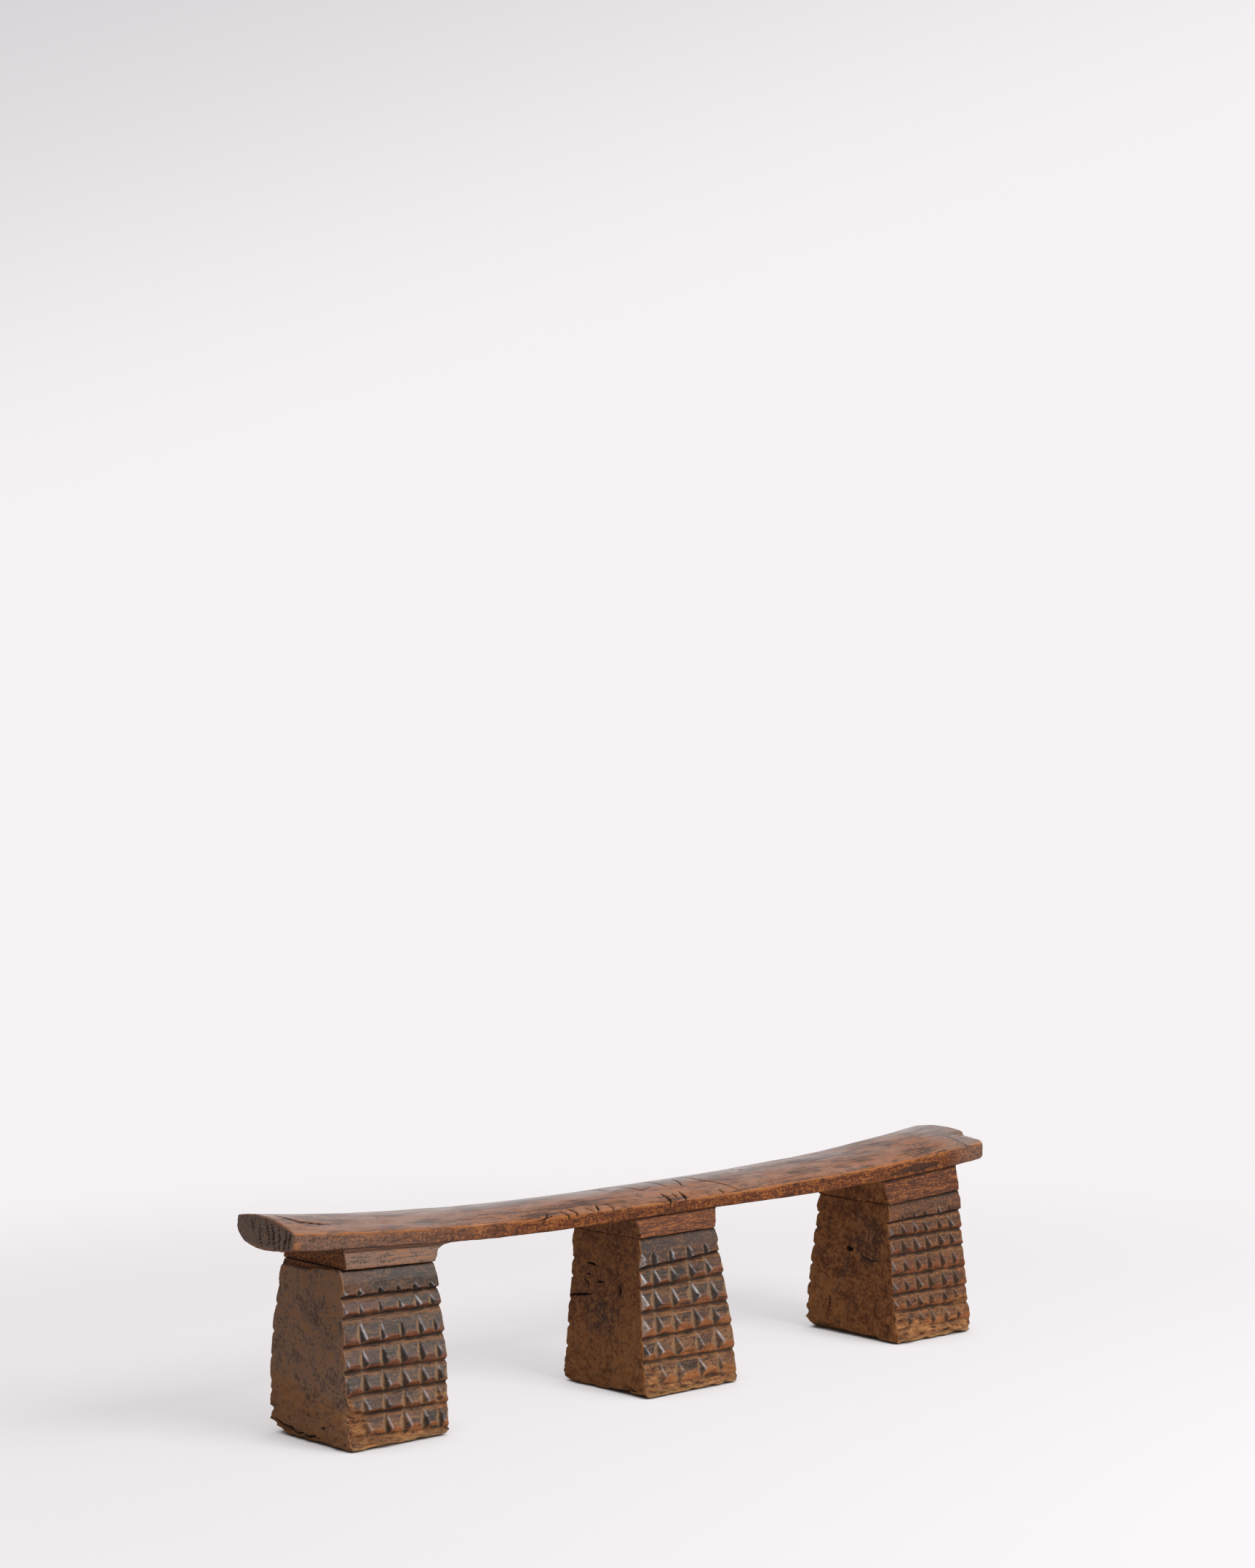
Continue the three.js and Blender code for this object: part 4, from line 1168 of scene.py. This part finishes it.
def beam_wood(colours):
    """Rubbed red-brown wood with a grey film, a painted sheen towards the back of the top, dark stains,
    orange worn edges, dark nicks and painted shade on the chipped end's step.
    """
    shader = Shader("rubbed_beam_wood")
    grain = wood_grain(shader)
    top, end, edge, rim, bloom_and_sheen = shader.marks("top", "end", "edge", "rim", "bloom_and_sheen")
    nick, broken, step, stain = shader.marks("scored", "broken", "step", "stain")
    rubbing = shader.noise((34.0, 13.0, 13.0), 4.0, 0.62, shift=(40.0, 0.0, 0.0))
    strokes = shader.noise((1.7, 17.0, 6.0), 3.0, 0.6, turn=(0.0, 0.0, -0.5))
    scratches = shader.noise((1.2, 9.0, 4.0), 2.0, 0.6, turn=(0.0, 0.0, 0.3), shift=(9.0, 0.0, 0.0))

    dark_top = shader.blend(0.78, colours.beam_top, colours.dirt_and_shade)
    light_top = shader.blend(0.5, colours.beam_top, colours.worn_edge)
    top_tone = grain["streak"] + rubbing * 0.9 + grain["fibre"] * 0.7 - 1.3
    rubbed_top = shader.layers(
        shader.tones(top_tone, 0.14, dark_top, colours.beam_top, light_top),
        (strokes.between(0.44, 0.34) * 0.7, dark_top),
        (scratches.between(0.4, 0.32) * 0.7, dark_top),
    )

    dark_side = shader.blend(0.65, colours.beam_side, colours.dirt_and_shade)
    light_side = shader.blend(0.6, colours.beam_side, colours.worn_edge)
    side_tone = grain["grit"] * 1.5 + grain["fibre"] * 0.9 + grain["mottle"] * 0.5 - 1.45
    rough_side = shader.tones(side_tone, 0.22, dark_side, colours.beam_side, light_side)
    rough_side = shader.blend(grain["grit"].between(0.6, 0.7) * 0.3, rough_side, colours.dust)

    grey_end = shader.blend(0.05, colours.grey_film_and_sheen, colours.side_brown)
    dark_end = shader.blend(0.5, grey_end, colours.dirt_and_shade)
    light_end = shader.blend(0.6, colours.grey_film_and_sheen, colours.dust)
    end_grain = shader.tones(side_tone, 0.25, dark_end, grey_end, light_end)
    worn = rim * 0.55 + edge * 0.5
    colour = shader.layers(
        shader.blend(top, rough_side, rubbed_top),
        # Grey film towards the ends, and painted sheen towards the back of the top
        (bloom_and_sheen * (0.25 + grain["streak"] * 0.6), colours.grey_film_and_sheen),
        (bloom_and_sheen * side_tone.between(0.0, -0.2) * 0.6, dark_side),
        (end * 0.94, end_grain),
        (broken * 0.7, end_grain),
        # Painted shade on the chipped end's step
        (step * 0.8, colours.dirt_and_shade),
        (stain * (0.55 + grain["fibre"] * 0.6), colours.dirt_and_shade),
        (worn * grain["mottle"].between(0.34, 0.56), colours.worn_edge),
        (nick, colours.dirt_and_shade),
    )

    roughness = 0.68 - top * 0.14 + nick * 0.2
    sheen = 0.3 + bloom_and_sheen * 0.7 + rubbing.between(0.38, 0.62) * 0.4
    coat = (top * sheen + 0.02) * (1.0 - nick) * (1.0 - end)
    relief = (side_tone + strokes * 0.3) * (1.25 - top)
    return shader.finish_wood(colour, roughness, coat, relief, 0.55)


def side_wood(shader, colours, leg, grain):
    """The end grain of a leg's and a collar's sides: mottled brown with dark pores, ochre flecks
    and the fine strokes that the tools left, dusty or burnished where the marks say so."""
    upright = shader.noise((3.0, 1.4, 11.0), 3.0, 0.65, turn=(0.18, 0.0, 0.0))
    slanting = shader.noise((3.0, 11.0, 1.5), 3.0, 0.65, turn=(0.45, 0.0, 0.0), shift=(5.0, 5.0, 5.0))
    pores = shader.noise((4.0, 2.6, 2.6), 4.0, 0.8, shift=(7.0, 7.0, 7.0))
    lumps = shader.noise((13.0, 9.0, 9.0), 4.0, 0.65, shift=(0.0, 3.0, 9.0))
    dusty, burnished, torn = shader.marks("dusty", "burnished", "torn")
    ochre = shader.blend(0.5, colours.dust, colours.worn_edge)
    base = shader.layers(
        colours.side_brown,
        (leg["haze"], colours.pale_side),
        (dusty * 0.45, ochre),
        (burnished * 0.55, colours.patina),
    )
    dark = shader.blend(0.5, base, colours.dirt_and_shade)
    light = shader.blend(0.7, base, ochre)
    tone = pores * 2.0 + lumps * 1.3 + upright * 0.5 + slanting * 0.5 + grain["cloud"] * 0.4 - 2.35
    torn_tone = grain["fibre"] + grain["grit"] - 1.0
    torn_wood = shader.tones(torn_tone, 0.18, colours.dirt_and_shade, colours.side_brown, colours.worn_edge)
    return shader.layers(
        shader.tones(tone + dusty * 0.05, 0.24, dark, base, light),
        (pores.between(0.54, 0.68) * (0.7 - burnished * 0.3), colours.dust),
        (pores.between(0.43, 0.3) * 0.35, colours.dirt_and_shade),
        (torn * 0.92, torn_wood),
    )


def side_relief(grain):
    return grain["grit"] * 1.3 + grain["mottle"]


def collar_wood(colours, leg):
    """Smooth red-brown wood, with an orange worn lip and darker, rougher sides."""
    shader = Shader(f"{leg['name']}_collar_wood")
    grain = wood_grain(shader)
    side, edge, crease_shade, bead = shader.marks("side", "edge", "crease_shade", "bead")
    red = shader.blend(leg["haze"] * 0.6, colours.collar_red, colours.grey_film_and_sheen)
    red = shader.blend(leg["shade"], red, colours.dirt_and_shade)
    dark = shader.blend(0.65, red, colours.dirt_and_shade)
    light = shader.blend(0.5, red, colours.worn_edge)
    tone = grain["fibre"] * 1.1 + grain["streak"] * 0.6 + grain["grit"] * 0.9 - 1.3
    colour = shader.layers(
        shader.tones(tone, 0.22, dark, red, light),
        (grain["grit"].between(0.6, 0.7) * 0.4, colours.dust),
        (bead * 0.7, colours.beam_side),
        (side, side_wood(shader, colours, leg, grain)),
        (edge * grain["mottle"].between(0.34, 0.5) * 0.85, colours.worn_edge),
        # Painted shade under the beam and under the bead
        (crease_shade * 0.85, colours.dirt_and_shade),
    )
    coat = (1.0 - side) * (1.0 - crease_shade) * 0.02
    relief = side * side_relief(grain) + (1.0 - side) * tone
    return shader.finish_wood(colour, 0.62 + side * 0.14, coat, relief, 0.5)


def leg_wood(colours, leg):
    """Dark glossy patina on the carving, orange-red facets below the ridges, dust on the ledges,
    cuts with right walls dark from patina and painted shade and with left walls and valleys light from
    dust and painted light, painted glints on the arrises and at the front corner, painted shade in the
    grooves, an ochre base edge of dust and painted light, crumbly ochre where it is worn and brown end
    grain on the sides."""
    shader = Shader(f"{leg['name']}_leg_wood")
    grain = wood_grain(shader)
    side, edge, crease_shade, crack = shader.marks("side", "edge", "crease_shade", "scored")
    facet, cut, leaf, arris = shader.marks("facet", "cut", "leaf", "arris")
    ledge, worn, corner, burnished = shader.marks("ledge", "worn", "corner", "burnished")
    low = shader.height().between(leg["low"] * MM, 4.0 * MM)
    # Ochre band along the bottom edge: dust, and painted light on the lit edge
    rim = shader.height().between(4.2 * MM, 1.5 * MM)

    # A grey tint on the patina by the leg's haze, which on the left leg paints part of its grey sheen
    patina = shader.blend(leg["haze"] * 0.12, colours.patina, colours.grey_film_and_sheen)
    patina = shader.blend(leg["shade"], patina, colours.side_brown)
    dark = shader.blend(0.6, patina, colours.dirt_and_shade)
    dusty_brown = shader.blend(0.3, colours.side_brown, colours.dust)
    light = shader.blend(0.33, patina, dusty_brown)
    tone = grain["streak"] * 0.6 + grain["fibre"] * 0.8 + grain["grit"] * 0.9
    tone = tone + grain["mottle"] * 0.6 - 1.45
    dark_red = shader.blend(0.6, colours.lower_facet, colours.dirt_and_shade)
    bare = shader.blend(0.35, colours.lower_facet, colours.worn_edge)
    red = shader.tones(tone, 0.2, dark_red, colours.lower_facet, bare)
    red = shader.blend(low * 0.5, red, colours.worn_edge)
    leaf_tan = shader.blend(0.6, colours.grey_film_and_sheen, colours.dust)
    ochre = shader.blend(0.35, colours.dust, colours.worn_edge)
    crumbs = shader.noise((7.0, 7.0, 2.4), 4.0, 0.65)
    ochre = shader.tones(tone * 0.4 + crumbs * 2.4 - 1.2, 0.2, colours.side_brown, dusty_brown, ochre)
    ochre = shader.blend(crumbs.between(0.46, 0.38) * 0.8, ochre, colours.dirt_and_shade)

    corner = corner * leg["corner"]
    red_facet = facet * grain["mottle"].between(0.3, 0.48)
    leaf_share = leaf * (0.5 + grain["grit"].between(0.36, 0.56) * 0.4)
    dusted = worn * 1.1 + low * grain["mottle"].between(0.42, 0.62) * 0.55
    colour = shader.layers(
        shader.tones(tone, 0.22, dark, patina, light),
        (grain["cloud"].between(0.48, 0.66) * 0.15, colours.lower_facet),
        (red_facet * (0.62 + low * 0.25), red),
        (ledge * grain["fibre"].between(0.38, 0.52) * 0.6, dusty_brown),
        (grain["fibre"].between(0.58, 0.7) * (0.15 + low * 0.35), colours.dust),
        (grain["grit"].between(0.53, 0.66) * leg["crust"], dusty_brown),
        (grain["grit"].between(0.46, 0.34) * leg["crust"], colours.dirt_and_shade),
        # Right walls of the cuts darkened: patina, and painted shade
        (cut * 0.9, dark),
        # Painted highlight: glints at the front corner
        (corner * grain["grit"].between(0.36, 0.5), colours.grey_film_and_sheen),
        # Left walls of the cuts and the valleys lightened: dust, and painted light
        (leaf_share * leg["tan"], leaf_tan),
        # Painted highlight: glints on the arrises
        (arris * grain["mottle"].between(0.36, 0.6) * leg["arris"], colours.painted_edge_glint),
        (dusted * (0.45 + grain["grit"].between(0.34, 0.56) * 0.5), ochre),
        (side, side_wood(shader, colours, leg, grain)),
        (edge * grain["mottle"].between(0.38, 0.56) * 0.7, colours.worn_edge),
        # Dust and painted light along the bottom edge
        (rim * (1.0 - side * 0.7) * 0.6, colours.dust),
        # Painted shade in the grooves and under the lip
        (crease_shade * 0.92, colours.dirt_and_shade),
        (crack, colours.dirt_and_shade),
    )

    gloss = leg["gloss"] * (1.0 - low * 0.5) * (1.0 - ledge * 0.6) * (1.0 - cut - leaf * 0.8)
    gloss = gloss + corner * 0.5
    coat = (1.0 - side) * (1.0 - worn) * (1.0 - crease_shade) * (gloss + cut * leg["cut_gloss"] + arris * 0.5)
    coat = coat + side * burnished * 0.12
    relief = side * side_relief(grain) + (1.0 - side) * (tone + crumbs * worn * 3.0)
    return shader.finish_wood(colour, 0.62 + side * 0.16 + worn * 0.12, coat, relief, 0.7)


class HEADREST_OT_carve_beam(bpy.types.Operator):
    """Carve the saddle-shaped beam"""

    bl_idname = "headrest.carve_beam"
    bl_label = "Carve Beam"

    def execute(self, context):
        points, quads, marks = beam_surface(context.scene.headrest_sizes)
        material = beam_wood(context.scene.headrest_colours)
        make_piece("beam_wood", points, quads, marks, material, "beam_wood", "headrest_beam")
        return {"FINISHED"}


class HEADREST_OT_cut_collars(bpy.types.Operator):
    """Cut the three collars between the beam and the legs"""

    bl_idname = "headrest.cut_collars"
    bl_label = "Cut Collars"

    def execute(self, context):
        for leg in LEGS:
            points, quads, marks = collar_surface(leg, context.scene.headrest_sizes)
            material = collar_wood(context.scene.headrest_colours, leg)
            node = f"{leg['name']}_collar"
            make_piece(f"{node}_wood", points, quads, marks, material, "collar_wood", node)
        return {"FINISHED"}


class HEADREST_OT_carve_legs(bpy.types.Operator):
    """Carve the three legs with their rows of bosses"""

    bl_idname = "headrest.carve_legs"
    bl_label = "Carve Legs"

    def execute(self, context):
        for leg in LEGS:
            points, quads, marks = leg_surface(leg, context.scene.headrest_sizes)
            material = leg_wood(context.scene.headrest_colours, leg)
            node = f"{leg['name']}_leg"
            make_piece(f"{node}_wood", points, quads, marks, material, "leg_wood", node)
        return {"FINISHED"}


class HEADREST_OT_set_stage(bpy.types.Operator):
    """Set the floor, the light and the camera"""

    bl_idname = "headrest.set_stage"
    bl_label = "Set Stage"

    def execute(self, context):
        settings, colours = context.scene.headrest_stage, context.scene.headrest_colours
        make_floor(settings, colours)
        light_stage(context.scene, settings, colours)
        aim_camera(context.scene, settings)
        context.scene.view_settings.view_transform = "Standard"
        return {"FINISHED"}


def make_floor(settings, colours):
    """A square floor just under the feet, whose edge fades into the background. To the camera and
    in reflections it shows partly by its own glow, as in a bright studio, so that the shadows stay
    pale, and the glow carries a painted shadow that darkens it where the object comes close to the floor."""
    half = FLOOR_HALF
    corners = [(-half, -half), (half, -half), (half, half), (-half, half)]
    mesh = bpy.data.meshes.new("floor")
    mesh.from_pydata([(x, y, -FLOOR_DROP) for x, y in corners], [], [(0, 1, 2, 3)])
    shader = Shader("pale_floor")
    coordinates = shader.add("ShaderNodeTexCoord", output=3)
    distance = shader.add("ShaderNodeVectorMath", {"operation": "LENGTH"}, {0: coordinates}, 1)
    cloth = shader.noise((1.6, 1.6, 1.6), 2.0, 0.6)
    normal = shader.add("ShaderNodeBump", {}, {"Strength": 0.12, "Distance": 0.0006, "Height": cloth})
    paint = shader.add("ShaderNodeBsdfDiffuse", {}, {"Color": colours.floor, "Normal": normal})
    # Painted shadow: the glow darkens by ambient occlusion near the object, down to the dark colour in the
    # narrowest gaps
    open_sky = shader.add("ShaderNodeAmbientOcclusion", {}, {"Distance": 0.05}, 1)
    tone = shader.blend(open_sky.between(0.0, 0.9), (0.3, 0.28, 0.28, 1.0), colours.backdrop)
    crevice = shader.add("ShaderNodeAmbientOcclusion", {}, {"Distance": 0.008}, 1)
    tone = shader.blend(crevice.between(0.1, 0.6), colours.dirt_and_shade, tone)
    glow = shader.add("ShaderNodeEmission", {}, {"Color": tone})
    clear = shader.add("ShaderNodeBsdfTransparent")
    seen = shader.ray("Camera") + shader.ray("Glossy") + shader.ray("Transmission")
    lit = shader.add("ShaderNodeMixShader", {}, {0: seen * settings.floor_glow, 1: paint, 2: glow})
    surface = shader.add("ShaderNodeMixShader", {}, {0: distance.between(0.95, 0.42), 1: clear, 2: lit})
    shader.add("ShaderNodeOutputMaterial", {}, {"Surface": surface})
    mesh.materials.append(shader.material)
    floor = bpy.data.objects.new("floor", mesh)
    bpy.context.scene.collection.objects.link(floor)


def add_lamp(scene, name, lamp_sizes, power):
    """A rectangular lamp that faces the object."""
    lamp_data = bpy.data.lights.new(name, "AREA")
    lamp_data.shape = "RECTANGLE"
    lamp_data.size, lamp_data.size_y = lamp_sizes["size"]
    lamp_data.energy = power
    lamp = bpy.data.objects.new(name, lamp_data)
    lamp.location = lamp_sizes["place"]
    aim = Vector(LAMP_AIM) - lamp.location
    lamp.rotation_euler = aim.to_track_quat("-Z", "Y").to_euler()
    scene.collection.objects.link(lamp)


def light_stage(scene, settings, colours):
    """A large soft lamp in front, a reflector at the right and light from all round. The background
    shows at full strength to the camera and a little weaker in reflections, and its top is dimmer
    at the left."""
    world = bpy.data.worlds.new("pale_surroundings")
    world.use_nodes = True
    scene.world = world
    shader = Shader("pale_surroundings", world.node_tree)
    direction = shader.add("ShaderNodeTexCoord", output=0)
    inputs = {0: direction, 1: (-0.22, 0.2, 0.95)}
    slope = shader.add("ShaderNodeVectorMath", {"operation": "DOT_PRODUCT"}, inputs, 1)
    colour = shader.blend(slope.between(0.1, 0.3), colours.backdrop, colours.backdrop_gloom)
    shown = shader.ray("Camera") + shader.ray("Glossy") * 0.85 + shader.ray("Transmission")
    strength = settings.ambient + shown * (1.0 - settings.ambient)
    glow = shader.add("ShaderNodeBackground", {}, {"Color": colour, "Strength": strength})
    shader.add("ShaderNodeOutputWorld", {}, {"Surface": glow})
    add_lamp(scene, "front_lamp", FRONT_LAMP, settings.lamp_power)
    add_lamp(scene, "right_reflector", RIGHT_REFLECTOR, settings.reflector_power)


def aim_camera(scene, settings):
    """The camera of the photograph: its place, its turn and its slight downward tilt."""
    turn, tilt = math.radians(CAMERA_TURN), math.radians(CAMERA_TILT)
    level = Vector((math.sin(turn), math.cos(turn), 0.0))
    ahead = level * math.cos(tilt) + Vector((0.0, 0.0, math.sin(tilt)))
    right = Vector((math.cos(turn), -math.sin(turn), 0.0))
    above = right.cross(ahead)
    camera_data = bpy.data.cameras.new("camera")
    camera_data.lens = settings.lens
    camera_data.sensor_width = SENSOR_WIDTH
    camera_data.sensor_fit = "AUTO"
    camera = bpy.data.objects.new("camera", camera_data)
    directions = Matrix([[right[i], above[i], -ahead[i]] for i in range(3)])
    camera.matrix_world = Matrix.Translation(CAMERA_PLACE) @ directions.to_4x4()
    scene.collection.objects.link(camera)
    scene.camera = camera


class HEADREST_PT_panel(bpy.types.Panel):
    """Lists the steps that make the headrest"""

    bl_idname = "HEADREST_PT_panel"
    bl_label = "Carved Headrest"
    bl_space_type = "VIEW_3D"
    bl_region_type = "UI"
    bl_category = "Headrest"

    def draw(self, context):
        for operator in OPERATORS:
            self.layout.operator(operator.bl_idname)
        for group in ("headrest_sizes", "headrest_colours", "headrest_stage"):
            settings = getattr(context.scene, group)
            for name in settings.__annotations__:
                self.layout.prop(settings, name)


OPERATORS = (
    HEADREST_OT_carve_beam,
    HEADREST_OT_cut_collars,
    HEADREST_OT_carve_legs,
    HEADREST_OT_set_stage,
)
GROUPS = {
    "headrest_sizes": HeadrestSizes,
    "headrest_colours": HeadrestColours,
    "headrest_stage": HeadrestStage,
}


def register():
    for group in GROUPS.values():
        bpy.utils.register_class(group)
    for operator in OPERATORS:
        bpy.utils.register_class(operator)
    bpy.utils.register_class(HEADREST_PT_panel)
    for name, group in GROUPS.items():
        setattr(bpy.types.Scene, name, PointerProperty(type=group))


def unregister():
    for name in GROUPS:
        delattr(bpy.types.Scene, name)
    bpy.utils.unregister_class(HEADREST_PT_panel)
    for operator in reversed(OPERATORS):
        bpy.utils.unregister_class(operator)
    for group in reversed(GROUPS.values()):
        bpy.utils.unregister_class(group)


def main():
    register()
    bpy.ops.headrest.set_stage()
    bpy.ops.headrest.carve_beam()
    bpy.ops.headrest.cut_collars()
    bpy.ops.headrest.carve_legs()


if __name__ == "__main__":
    main()
